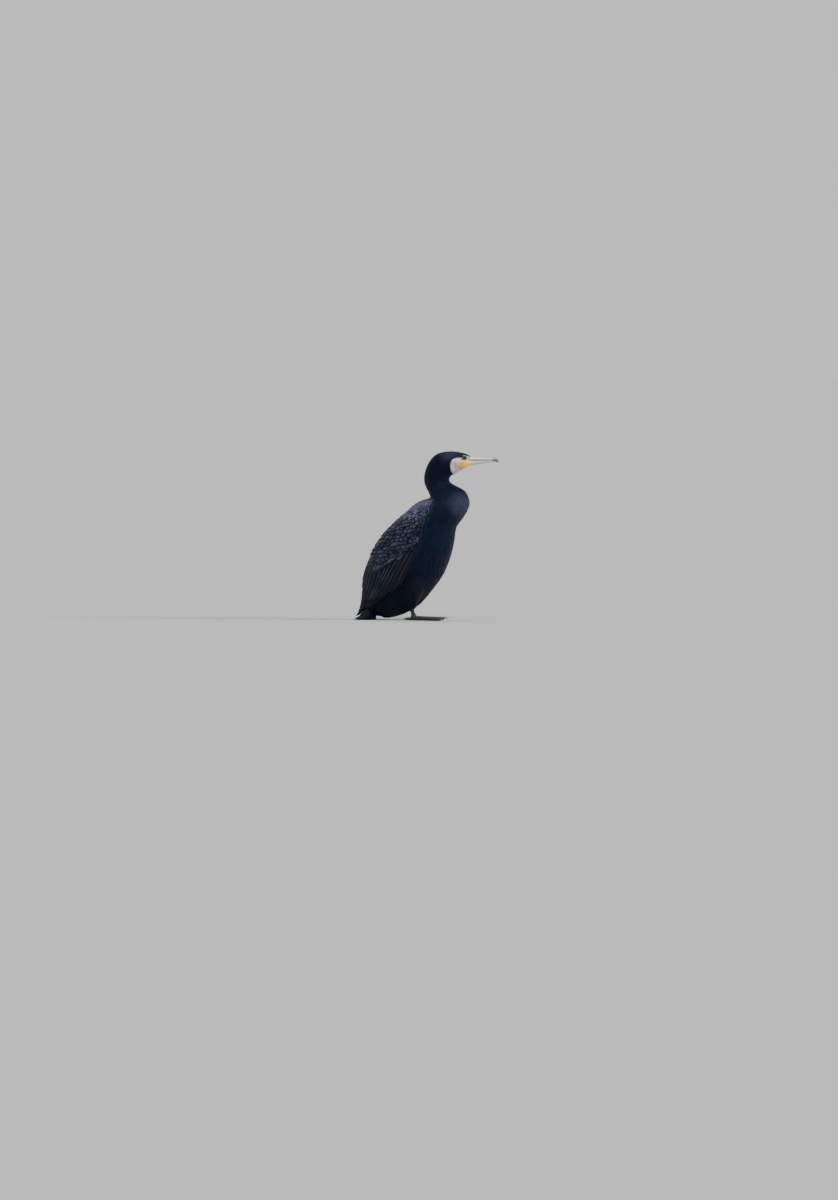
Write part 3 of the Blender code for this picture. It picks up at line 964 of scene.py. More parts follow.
class Graph:
    """Adds shader nodes to a tree and joins them."""

    def __init__(self, tree: NodeTree) -> None:
        """Takes the tree to draw in."""
        self.tree = tree

    def node(self, kind: str, inputs: dict | None = None, **settings: object) -> Node:
        """Adds a node.

        Args:
            kind: The node's type, without "ShaderNode".
            inputs: Values or sockets for its inputs, by name or number.
            settings: Properties of the node.

        Returns:
            The node.
        """
        made = self.tree.nodes.new("ShaderNode" + kind)
        for name, value in settings.items():
            setattr(made, name, value)
        for key, value in (inputs or {}).items():
            self.plug(made.inputs[key], value)
        return made

    def plug(self, socket: NodeSocket, value: object) -> None:
        """Feeds a socket from another socket, or sets its value."""
        if isinstance(value, NodeSocket):
            self.tree.links.new(value, socket)
        else:
            socket.default_value = value

    def math(self, operation: str, *values: object) -> NodeSocket:
        """A Math node's result."""
        return self.node("Math", dict(enumerate(values)), operation=operation).outputs[0]

    def times(self, value: object, factor: object, plus: object = 0.0) -> NodeSocket:
        """A value times a factor, plus another value."""
        return self.math("MULTIPLY_ADD", value, factor, plus)

    def mix(self, share: object, low: object, high: object) -> NodeSocket:
        """A colour between two colours."""
        return self.node("Mix", {0: share, 6: low, 7: high}, data_type="RGBA").outputs[2]

    def layers(self, colour: object, *coats: tuple[object, object]) -> NodeSocket:
        """A colour under coats of others.

        Args:
            colour: The lowest colour.
            coats: How far each coat covers, and its colour.

        Returns:
            The colour on top.
        """
        for share, over in coats:
            colour = self.mix(share, colour, over)
        return colour

    def span(
        self, value: object, low: float, high: float, to_low: float = 0.0, to_high: float = 1.0
    ) -> NodeSocket:
        """A value carried smoothly from one range to another."""
        inputs = {0: value, 1: low, 2: high, 3: to_low, 4: to_high}
        return self.node("MapRange", inputs, interpolation_type="SMOOTHSTEP").outputs[0]

    def attribute(self, name: str) -> NodeSocket:
        """One of the piece's own attributes, as a number."""
        return self.node("Attribute", attribute_name=name).outputs["Fac"]

    def noise(self, vector: object, scale: object, detail: float = 3.0) -> NodeSocket:
        """Plain noise."""
        inputs = {"Vector": vector, "Scale": scale, "Detail": detail}
        return self.node("TexNoise", inputs).outputs["Fac"]

    def object_place(self, stretch: Row = (1, 1, 1)) -> NodeSocket:
        """Object coordinates, stretched."""
        place = self.node("TexCoord").outputs["Object"]
        return self.node("Mapping", {"Vector": place, "Scale": stretch}).outputs[0]

    def vane(self) -> tuple[NodeSocket, NodeSocket]:
        """How far across and along its feather a place is."""
        place = self.node("UVMap", uv_map=VANE_MAP).outputs[0]
        return tuple(self.node("SeparateXYZ", {0: place}).outputs[:2])


Drawing = Callable[..., dict[str, NodeSocket]]


def new_group(name: str, draw: Drawing, vector: bool = True, **inputs: float) -> NodeTree:
    """Builds a shared effect as a node group.

    Args:
        name: The effect's name.
        draw: Takes a graph and the group's inputs, and returns its number outputs by name.
        vector: Whether its first input is a vector.
        inputs: Its number inputs and their usual values.

    Returns:
        The node group.
    """
    tree = bpy.data.node_groups.new(name, "ShaderNodeTree")
    if vector:
        tree.interface.new_socket("Vector", in_out="INPUT", socket_type="NodeSocketVector")
    for key, value in inputs.items():
        socket = tree.interface.new_socket(key, in_out="INPUT", socket_type="NodeSocketFloat")
        socket.default_value = value
    g, given = Graph(tree), tree.nodes.new("NodeGroupInput")
    outputs = draw(g, *given.outputs[: len(inputs) + vector])
    for key in outputs:
        tree.interface.new_socket(key, in_out="OUTPUT", socket_type="NodeSocketFloat")
    out = tree.nodes.new("NodeGroupOutput")
    for key, value in outputs.items():
        g.plug(out.inputs[key], value)
    return tree


class Effects:
    """The shared effects, each a node group that is built once."""

    def __init__(self) -> None:
        """Builds the groups."""
        self.barbs = new_group(
            "barbs", self.draw_barbs, vector=False, Across=0.5, Along=0.5, Count=40.0, Slant=0.5
        )
        self.fringe = new_group(
            "feather fringe", self.draw_fringe, Distance=1.0, Width=1.5, Ragged=0.5
        )
        self.mottle = new_group("mottle", self.draw_mottle, Size=60.0)
        self.scales = new_group("scales", self.draw_scales, Size=500.0)
        self.folds = new_group("folds", self.draw_folds, Size=300.0, Bend=2.0)

    @staticmethod
    def draw_barbs(g: Graph, across: NodeSocket, run: NodeSocket, *cut: NodeSocket) -> dict:
        """Slanting barbs on both sides of a shaft.

        Args:
            g: The graph to draw in.
            across: How far across the feather a place is.
            run: How far along it.
            cut: How many barbs there are, and how far they slant.

        Returns:
            The barbs' height and a mask of the shaft.
        """
        count, slant = cut
        off = g.math("ABSOLUTE", g.math("SUBTRACT", across, 0.5))
        run = g.math("SUBTRACT", run, g.times(off, slant))
        wave = g.math("SINE", g.times(g.times(run, count), TURN))
        return {"Height": g.times(wave, 0.5, 0.5), "Shaft": g.span(off, 0.05, 0.015)}

    @staticmethod
    def draw_fringe(g: Graph, vector: NodeSocket, *sizes: NodeSocket) -> dict:
        """The rim of a feather.

        Args:
            g: The graph to draw in.
            vector: The place.
            sizes: Its distance to the outline, the rim's width, and how ragged the rim is,
                all in millimetres.

        Returns:
            The rim's mask.
        """
        distance, width, ragged = sizes
        rag = g.math("SUBTRACT", g.noise(vector, 900.0), 0.5)
        share = g.math("DIVIDE", g.times(rag, ragged, distance), width)
        return {"Mask": g.span(share, 1.25, 0.6)}

    @staticmethod
    def draw_mottle(g: Graph, vector: NodeSocket, size: NodeSocket) -> dict:
        """Uneven colour in two sizes."""
        fine = g.noise(vector, g.times(size, 7.0), 4.0)
        return {"Coarse": g.noise(vector, size), "Fine": fine}

    @staticmethod
    def draw_scales(g: Graph, vector: NodeSocket, size: NodeSocket) -> dict:
        """A net of small scales with sunk joints.

        Args:
            g: The graph to draw in.
            vector: The place.
            size: How many scales there are to a metre.

        Returns:
            The scales' height and a mask of their joints.
        """
        inputs = {"Vector": vector, "Scale": size}
        off = g.node("TexVoronoi", inputs, feature="DISTANCE_TO_EDGE").outputs["Distance"]
        return {"Height": g.span(off, 0.0, 0.22), "Joint": g.span(off, 0.10, 0.0)}

    @staticmethod
    def draw_folds(g: Graph, vector: NodeSocket, size: NodeSocket, bend: NodeSocket) -> dict:
        """Fine folds of loose skin or the grain of horn, across the vector's height.

        Args:
            g: The graph to draw in.
            vector: The place.
            size: How close the folds are.
            bend: How far they wander.

        Returns:
            Their height.
        """
        inputs = {"Vector": vector, "Scale": size, "Distortion": bend, "Detail": 3.0}
        inputs["Detail Scale"] = 1.5
        wave = g.node("TexWave", inputs, wave_type="BANDS", bands_direction="Z")
        return {"Height": wave.outputs["Fac"]}


@dataclass(frozen=True)
class Gloss:
    """The constant part of a finish, set on the shader's own sockets in this order."""

    ior: float = 1.5
    specular: float = 0.5
    tint: Row = (1.0, 1.0, 1.0, 1.0)
    coat: float = 0.0
    coat_roughness: float = 0.2
    sheen: float = 0.0
    sheen_roughness: float = 0.4
    sheen_tint: Row = (1.0, 1.0, 1.0, 1.0)
    subsurface: float = 0.0
    glow_radius: Row = (0.9, 0.4, 0.2)
    glow_scale: float = 1.0 * MM
    sockets: ClassVar[tuple[str, ...]] = (
        "IOR", "Specular IOR Level", "Specular Tint", "Coat Weight", "Coat Roughness",
        "Sheen Weight", "Sheen Roughness", "Sheen Tint", "Subsurface Weight",
        "Subsurface Radius", "Subsurface Scale",
    )


class Finish(Graph):
    """A material: a shader with its constant gloss, and the graph that feeds it."""

    def __init__(self, name: str, gloss: Gloss) -> None:
        """Makes the shader.

        Args:
            name: The material's name.
            gloss: Its constant values.
        """
        self.material = bpy.data.materials.new(name)
        self.material.use_nodes = True
        super().__init__(self.material.node_tree)
        self.shader = self.tree.nodes["Principled BSDF"]
        for socket, value in zip(gloss.sockets, fields(gloss)):
            self.shader.inputs[socket].default_value = getattr(gloss, value.name)

    def use(self, effect: NodeTree, **inputs: object) -> list[NodeSocket]:
        """Places a shared effect in this material.

        Args:
            effect: The effect's group.
            inputs: Its inputs.

        Returns:
            Its outputs.
        """
        made = self.tree.nodes.new("ShaderNodeGroup")
        made.node_tree = effect
        for key, value in inputs.items():
            self.plug(made.inputs[key], value)
        return list(made.outputs)

    def surface(self, colour: object, roughness: object) -> None:
        """Feeds the shader's colour and roughness."""
        self.plug(self.shader.inputs["Base Color"], colour)
        self.plug(self.shader.inputs["Roughness"], roughness)

    def relief(self, height: object, distance: float, strength: float) -> None:
        """Adds fine relief from a height."""
        inputs = {"Height": height, "Distance": distance, "Strength": strength}
        self.plug(self.shader.inputs["Normal"], self.node("Bump", inputs).outputs[0])


# Painted sheen highlights, grey over the dark feathers round the neck's bulge and the crown: the
# middle, where it ends and is full, its share.
PAINTED_SHEENS = (((0.104, 0.0, 0.312), 0.046, 0.008, 1.0), ((0.062, 0.0, 0.448), 0.034, 0.004, 0.5))


@dataclass(frozen=True)
class Palette:
    """The bird's colours, in linear light."""

    navy: Row = (0.0042, 0.0090, 0.0270, 1.0)
    teal: Row = (0.0030, 0.0130, 0.0260, 1.0)
    violet: Row = (0.0080, 0.0088, 0.0300, 1.0)
    ink: Row = (0.0026, 0.0029, 0.0050, 1.0)
    bloom: Row = (0.085, 0.090, 0.150, 1.0)
    white: Row = (0.80, 0.73, 0.71, 1.0)
    dusk: Row = (0.060, 0.060, 0.066, 1.0)
    bronze: Row = (0.058, 0.064, 0.106, 1.0)
    mauve: Row = (0.150, 0.163, 0.290, 1.0)
    slate: Row = (0.004, 0.0055, 0.011, 1.0)
    steel: Row = (0.044, 0.052, 0.082, 1.0)
    plum: Row = (0.055, 0.045, 0.065, 1.0)
    orange: Row = (1.0, 0.46, 0.010, 1.0)
    yellow: Row = (1.0, 0.74, 0.080, 1.0)
    olive: Row = (0.040, 0.038, 0.022, 1.0)
    peach: Row = (0.64, 0.42, 0.30, 1.0)
    rose: Row = (0.33, 0.26, 0.26, 1.0)
    tan: Row = (0.50, 0.38, 0.22, 1.0)
    beads: Row = (0.020, 0.045, 0.085, 1.0)
    horn: Row = (0.56, 0.52, 0.55, 1.0)
    ivory: Row = (0.66, 0.60, 0.54, 1.0)
    soot: Row = (0.022, 0.020, 0.022, 1.0)
    skin_black: Row = (0.008, 0.008, 0.010, 1.0)
    skin_grey: Row = (0.030, 0.031, 0.034, 1.0)
    emerald: Row = (0.003, 0.048, 0.030, 1.0)
    leaf: Row = (0.012, 0.105, 0.058, 1.0)
    pupil: Row = (0.002, 0.002, 0.003, 1.0)


class Finishes:
    """Builds every material of the bird once."""

    def __init__(self) -> None:
        """Builds the shared effects, then the finishes."""
        self.effects = Effects()
        self.colours = Palette()
        self.coat = self.plumage()
        self.skin = self.bird_skin()
        self.covert = self.bronze_covert()
        self.flight = self.flight_feather()
        self.bill = self.horn_bill()
        self.claw = self.dark_claw()
        self.leg = self.scaly_leg()
        self.eye = self.green_eye()
        self.lid = self.beaded_lid()

    def feather(
        self, g: Finish, size: float, rim: object, ragged: float, **barbs: float
    ) -> list[NodeSocket]:
        """The effects that all feathers share.

        Args:
            g: The finish.
            size: How fine the mottling is.
            rim: The rim's width in millimetres.
            ragged: How ragged it is.
            barbs: How many barbs there are, and how far they slant.

        Returns:
            The coarse and the fine mottling, the barbs' height, the shaft and the rim.
        """
        place, (across, run) = g.object_place(), g.vane()
        edge = {"Distance": g.attribute("edge"), "Width": rim, "Ragged": ragged}
        return [
            *g.use(self.effects.mottle, Vector=place, Size=size),
            *g.use(self.effects.barbs, Across=across, Along=run, **barbs),
            *g.use(self.effects.fringe, Vector=place, **edge),
        ]

    def plumage(self) -> Material:
        """Glossy blue black body feathers, white where the coat is marked white, with painted sheen
        highlights and painted shade.

        Returns:
            The material.
        """
        colours = self.colours
        gloss = Gloss(ior=1.4, specular=0.32, tint=(0.46, 0.62, 1.0, 1.0))
        g = Finish("blue black plumage", gloss)
        coarse, fine, barbs, _, rim = self.feather(g, 38.0, 0.5, 0.5, Count=14.0)
        height = g.node("SeparateXYZ", {0: g.object_place()}).outputs[2]
        body = g.layers(
            colours.teal,
            (g.span(coarse, 0.36, 0.50), colours.navy),
            (g.span(coarse, 0.52, 0.68), colours.violet),
            (g.span(g.attribute("tone"), 0.55, 1.0, 0.0, 0.55), colours.ink),
            # painted shade: the coat darkens towards the belly, away from the light
            (g.span(height, 0.22, 0.06, 0.0, 0.5), colours.ink),
        )
        # painted sheen: grey highlights on the neck's bulge and the crown
        side_on = g.object_place((1.0, 0.0, 1.0))
        for spot, far, near, share in PAINTED_SHEENS:
            away = g.node("VectorMath", {0: side_on, 1: spot}, operation="DISTANCE").outputs[1]
            share = g.times(g.span(away, far, near, 0.0, share), fine)
            body = g.mix(share, body, colours.bloom)
        body = g.mix(g.times(rim, 0.6), body, colours.ink)
        # painted shade: grey lines over the white feathers
        grey_shade = g.span(g.noise(g.object_place((1.0, 1.0, 2.4)), 330.0), 0.60, 0.70)
        pale = g.layers(
            colours.white,
            (g.times(g.attribute("blush"), 0.75), colours.peach),
            (g.times(grey_shade, 0.6), colours.dusk),
        )
        white = g.attribute("white")
        g.surface(g.mix(white, body, pale), g.times(white, 0.25, g.times(fine, 0.24, 0.22)))
        g.relief(barbs, 0.06 * MM, 0.25)
        return g.material

    def bird_skin(self) -> Material:
        """The skin under the coat: black, white under white feathers, yellow where bare.

        Returns:
            The material.
        """
        colours = self.colours
        gloss = Gloss(ior=1.45, specular=0.45, subsurface=0.06, glow_scale=0.8 * MM)
        g = Finish("skin under the coat", gloss)
        place = g.object_place()
        coarse, fine = g.use(self.effects.mottle, Vector=place, Size=120.0)
        height, joint = g.use(self.effects.scales, Vector=place, Size=1500.0)
        loose = g.object_place((0.5, 0.2, 1.0))
        (fold,) = g.use(self.effects.folds, Vector=loose, Size=190.0)
        warm = g.layers(
            colours.yellow,
            (g.attribute("warm"), colours.orange),
            (g.span(fine, 0.45, 0.75, 0.0, 0.35), colours.olive),
            (g.times(joint, 0.35), colours.olive),
        )
        lore = g.layers(
            colours.rose,
            (g.attribute("brow"), colours.tan),
            (g.attribute("ring"), colours.olive),
            (g.times(joint, 0.6), colours.olive),
        )
        white, bare = g.attribute("white"), g.attribute("bare")
        body = g.layers(
            colours.ink,
            (coarse, colours.navy),
            (white, colours.white),
            (g.times(g.attribute("blush"), white), colours.peach),
            (g.attribute("lore"), lore),
            (bare, warm),
        )
        g.surface(body, g.times(bare, -0.12, 0.55))
        g.relief(g.times(fold, 0.6, height), 0.16 * MM, 0.6)
        return g.material

    def bronze_covert(self) -> Material:
        """Scale-like feathers of the back and wing: bronze grey with a glossy black rim.

        Returns:
            The material.
        """
        colours = self.colours
        tints = {"tint": (0.66, 0.74, 1.0, 1.0), "sheen_tint": (0.7, 0.65, 0.9, 1.0)}
        g = Finish("bronze coverts with black rims", Gloss(1.4, 0.22, sheen=0.02, **tints))
        parts = self.feather(g, 45.0, g.attribute("rim"), 0.9, Count=34.0)
        coarse, _, barbs, shaft, rim = parts
        colour = g.layers(
            colours.bronze,
            (g.span(coarse, 0.35, 0.65), colours.mauve),
            # tone: tones at random, and painted shade lower on the wing
            (g.span(g.attribute("tone"), 0.1, 1.1, 0.0, 0.85), colours.slate),
            (g.times(barbs, 0.16), colours.ink),
            (g.times(shaft, 0.6), colours.ink),
            (rim, colours.ink),
        )
        g.surface(colour, g.times(rim, -0.18, 0.50))
        g.relief(barbs, 0.12 * MM, 0.6)
        return g.material

    def flight_feather(self) -> Material:
        """Long stiff feathers: slate grey vanes with black rims and a black shaft.

        Returns:
            The material.
        """
        colours = self.colours
        g = Finish("stiff slate feathers", Gloss(1.4, 0.18, (0.66, 0.76, 1.0, 1.0)))
        parts = self.feather(g, 30.0, g.attribute("rim"), 0.8, Count=95.0, Slant=0.3)
        coarse, _, barbs, shaft, rim = parts
        off = g.math("ABSOLUTE", g.math("SUBTRACT", g.vane()[0], 0.5))
        band = g.times(g.span(off, 0.24, 0.34), g.span(off, 0.475, 0.42))
        colour = g.layers(
            colours.slate,
            (g.times(band, g.span(coarse, 0.3, 0.6, 0.4, 1.0)), colours.steel),
            # tone darkens the feathers, with painted shade on the secondaries
            (g.span(g.attribute("tone"), 0.2, 1.0, 0.0, 0.7), colours.ink),
            (g.times(barbs, 0.22), colours.ink),
            (shaft, colours.soot),
            (rim, colours.ink),
        )
        g.surface(colour, g.times(rim, -0.14, 0.46))
        g.relief(barbs, 0.14 * MM, 0.6)
        return g.material

    def horn_bill(self) -> Material:
        """Pale lavender horn with painted shade where the two halves meet, a worn nail and a yellow
        root.

        Returns:
            The material.
        """
        colours = self.colours
        g = Finish("pale horn", Gloss(ior=1.54, subsurface=0.10))
        place = g.object_place((0.16, 1.0, 1.0))
        coarse, fine = g.use(self.effects.mottle, Vector=place, Size=260.0)
        (grain,) = g.use(self.effects.folds, Vector=place, Size=210.0, Bend=3.0)
        wear = g.times(fine, 0.5, -0.25)
        # painted shade along the line where the two halves meet
        ridge, mouth = (
            g.span(g.math("ADD", g.attribute(name), wear), 0.25, 0.8, 0.0, share)
            for name, share in (("ridge", 0.55), ("mouth", 0.92))
        )
        horn = g.layers(
            colours.horn,
            (g.span(coarse, 0.3, 0.7), colours.ivory),
            (g.span(fine, 0.52, 0.75, 0.0, 0.45), colours.mauve),
            (ridge, colours.plum),
            (mouth, colours.plum),
            (g.times(g.attribute("nail"), 0.72), colours.dusk),
            (g.times(g.attribute("base"), 0.75), colours.yellow),
        )
        g.surface(horn, g.span(fine, 0.3, 0.7, 0.30, 0.46))
        g.relief(grain, 0.10 * MM, 0.35)
        return g.material

    def dark_claw(self) -> Material:
        """Dark worn horn, paler in patches at random.

        Returns:
            The material.
        """
        g = Finish("dark worn horn", Gloss(ior=1.54))
        place = g.object_place()
        fine = g.use(self.effects.mottle, Vector=place, Size=240.0)[1]
        (grain,) = g.use(self.effects.folds, Vector=place, Size=330.0)
        horn = g.mix(g.span(fine, 0.4, 0.75), self.colours.soot, self.colours.dusk)
        g.surface(horn, g.span(fine, 0.3, 0.7, 0.26, 0.44))
        g.relief(grain, 0.08 * MM, 0.3)
        return g.material

    def scaly_leg(self) -> Material:
        """Black leathery skin in a net of scales, finer on the webs, with a painted grey highlight
        on the higher parts.

        Returns:
            The material.
        """
        colours = self.colours
        g = Finish("black scaly skin", Gloss(ior=1.48, specular=0.35))
        place, web = g.object_place(), g.attribute("web")
        toes = g.use(self.effects.scales, Vector=place, Size=620.0)
        webs = g.use(self.effects.scales, Vector=place, Size=1500.0)
        height, joint = (g.mix(web, *sockets) for sockets in zip(toes, webs))
        coarse, fine = g.use(self.effects.mottle, Vector=place, Size=70.0)
        skin = g.layers(
            colours.skin_black,
            (g.span(coarse, 0.35, 0.7, 0.0, 0.55), colours.skin_grey),
            # painted highlight: the higher parts of toes and shank are greyer
            (g.span(g.attribute("high"), 0.1, 1.0, 0.0, 0.35), colours.skin_grey),
            (g.times(joint, 0.7), colours.ink),
        )
        g.surface(skin, g.span(fine, 0.3, 0.7, 0.34, 0.52))
        g.relief(height, 0.22 * MM, 0.7)
        return g.material

    def green_eye(self) -> Material:
        """A wet emerald iris round a black pupil.

        Returns:
            The material.
        """
        colours = self.colours
        gloss = Gloss(ior=1.38, specular=0.15, coat=0.7, coat_roughness=0.02)
        g = Finish("wet emerald iris", gloss)
        fleck = g.noise(g.object_place(), 1500.0, 4.0)
        wavy = g.times(g.math("SUBTRACT", fleck, 0.5), 3.0, g.attribute("polar"))
        iris = g.layers(
            colours.emerald,
            (g.span(fleck, 0.35, 0.65), colours.leaf),
            (g.span(wavy, 36.0, 44.0, 0.0, 0.85), colours.ink),
            (g.span(wavy, 25.0, 18.0, 0.0, 0.6), colours.emerald),
            (g.span(wavy, 18.5, 17.0), colours.pupil),
        )
        g.surface(iris, 0.12)
        return g.material

    def beaded_lid(self) -> Material:
        """Dark olive lids with small bluish beads.

        Returns:
            The material.
        """
        colours = self.colours
        g = Finish("beaded lids", Gloss(ior=1.45))
        height, _ = g.use(self.effects.scales, Vector=g.object_place(), Size=1700.0)
        lid = g.mix(g.times(height, 0.5), colours.ink, colours.olive)
        g.surface(g.mix(g.attribute("bead"), lid, colours.beads), 0.42)
        g.relief(height, 0.10 * MM, 0.5)
        return g.material


# ---------------------------------------------------------------- feathers


@dataclass(frozen=True)
class Vane:
    """The cut of a feather.

    A feather is a closed lens: rings of points along it, drawn to a point at both ends.

    Attributes:
        rings: Shares of its length that have a ring.
        top: Shares of its half width with a point on the upper side, from left to right.
        under: The same on the underside, from right to left, between the edges.
        shaft: How much higher than the vane the shaft stands, in thicknesses.
        shoulder: Share of the length at which it is nearly at full width.
        tip: Share of the length where the tip begins to round off.
        sharp: The power of the tip's outline; 2 is round, less is pointed.
    """

    rings: Row
    top: Row = (-1.0, 0.0, 1.0)
    under: Row = (0.0,)
    shaft: float = 0.0
    shoulder: float = 0.30
    tip: float = 0.45
    sharp: float = 2.0

    def outline(self, v: Array) -> Array:
        """The half width at shares of the length, as a share of the full one.

        Args:
            v: Shares of the length.

        Returns:
            Shares from 0 to 1.
        """
        rise = np.clip(v / self.shoulder, 0, 1) ** 0.6
        fall = 1 - np.clip((v - self.tip) / (1 - self.tip), 0, 1) ** self.sharp
        return rise * np.sqrt(np.clip(fall, 0, 1))

    def template(self) -> tuple[Array, list[list[int]]]:
        """One feather as a mesh of shares.

        Returns:
            Its vertices as (across, along, thickness), and its faces.
        """
        section = [(u, (abs(u) < 1) * (1 + self.shaft * (u == 0))) for u in self.top]
        section += [(u, -1.0) for u in self.under]
        bm = bmesh.new()
        bmesh.ops.create_circle(bm, segments=len(section), radius=1.0)
        for vert, (u, w) in zip(bm.verts, section):
            vert.co = (u, 0.0, w)
        first, edges, at = list(bm.verts), list(bm.edges), 0.0
        for share in (*self.rings, 1.0):
            ring, edges = next_ring(bm, edges)
            bmesh.ops.translate(bm, verts=ring, vec=(0, share - at, 0))
            at = share
        bmesh.ops.pointmerge(bm, verts=first, merge_co=(0, 0, 0))
        bmesh.ops.pointmerge(bm, verts=ring, merge_co=(0, 1, 0))
        bmesh.ops.recalc_face_normals(bm, faces=bm.faces)
        bm.verts.index_update()
        spots = np.array([vert.co for vert in bm.verts])
        faces = [[vert.index for vert in face.verts] for face in bm.faces]
        bm.free()
        return spots, faces


CONTOUR_VANE = Vane((0.28, 0.60, 0.86), tip=0.32, sharp=1.3)
SCALE_VANE = Vane(
    rings=(0.20, 0.45, 0.62, 0.76, 0.87, 0.95), top=(-1.0, -0.62, -0.12, 0.0, 0.12, 0.62, 1.0),
    under=(0.5, -0.5), shaft=0.4, shoulder=0.22, tip=0.52,
)
QUILL_VANE = Vane(
    rings=(0.05, 0.14, 0.26, 0.38, 0.50, 0.62, 0.73, 0.82, 0.89, 0.945, 0.98),
    top=(-1.0, -0.55, -0.07, 0.0, 0.07, 0.55, 1.0), under=(0.5, 0.0, -0.5),
    shaft=0.9, shoulder=0.10, tip=0.80,
)
LONG_VANE = replace(QUILL_VANE, tip=0.90)
TAIL_VANE = replace(LONG_VANE, shoulder=0.35)


@dataclass
class Feathers:
    """Feathers to lay on a chart, with one number of each kind for each feather.

    Attributes:
        s: Where the root is along the chart.
        c: Its column value.
        length: In metres.
        width: In metres.
        turn: How far it turns from the lie of the chart, in radians.
        sink: How deep the root lies under the surface, in metres.
        rise: How high the tip stands over the surface, in metres.
        tilt: How much one edge is higher than the middle, as a share of the half width.
        tone: A number from 0 to 1 that varies its colour, at random, and on the wings also by
            painted shade.
        rim: The width of its rim, in millimetres.
    """

    s: Array
    c: Array
    length: Array
    width: Array | float
    turn: Array | float = 0.0
    sink: Array | float = 3 * MM
    rise: Array | float = 0.0
    tilt: Array | float = 0.0
    tone: Array | float = 0.5
    rim: Array | float = 1.2

    def __post_init__(self) -> None:
        """Gives every field one number for each feather."""
        for name, value in vars(self).items():
            setattr(self, name, np.array(np.broadcast_to(value, self.s.shape), float))

    def only(self, keep: Array) -> Feathers:
        """The feathers that are kept."""
        return Feathers(*(value[keep] for value in vars(self).values()))

    def on_both_wings(self) -> Feathers:
        """A row of one wing, and the same on the other wing.

        Returns:
            Twice as many feathers.
        """
        both = [np.concatenate([value, value]) for value in vars(self).values()]
        made, count = Feathers(*both), len(self.s)
        for value in (made.c, made.turn, made.tilt):
            value[count:] *= -1
        return made


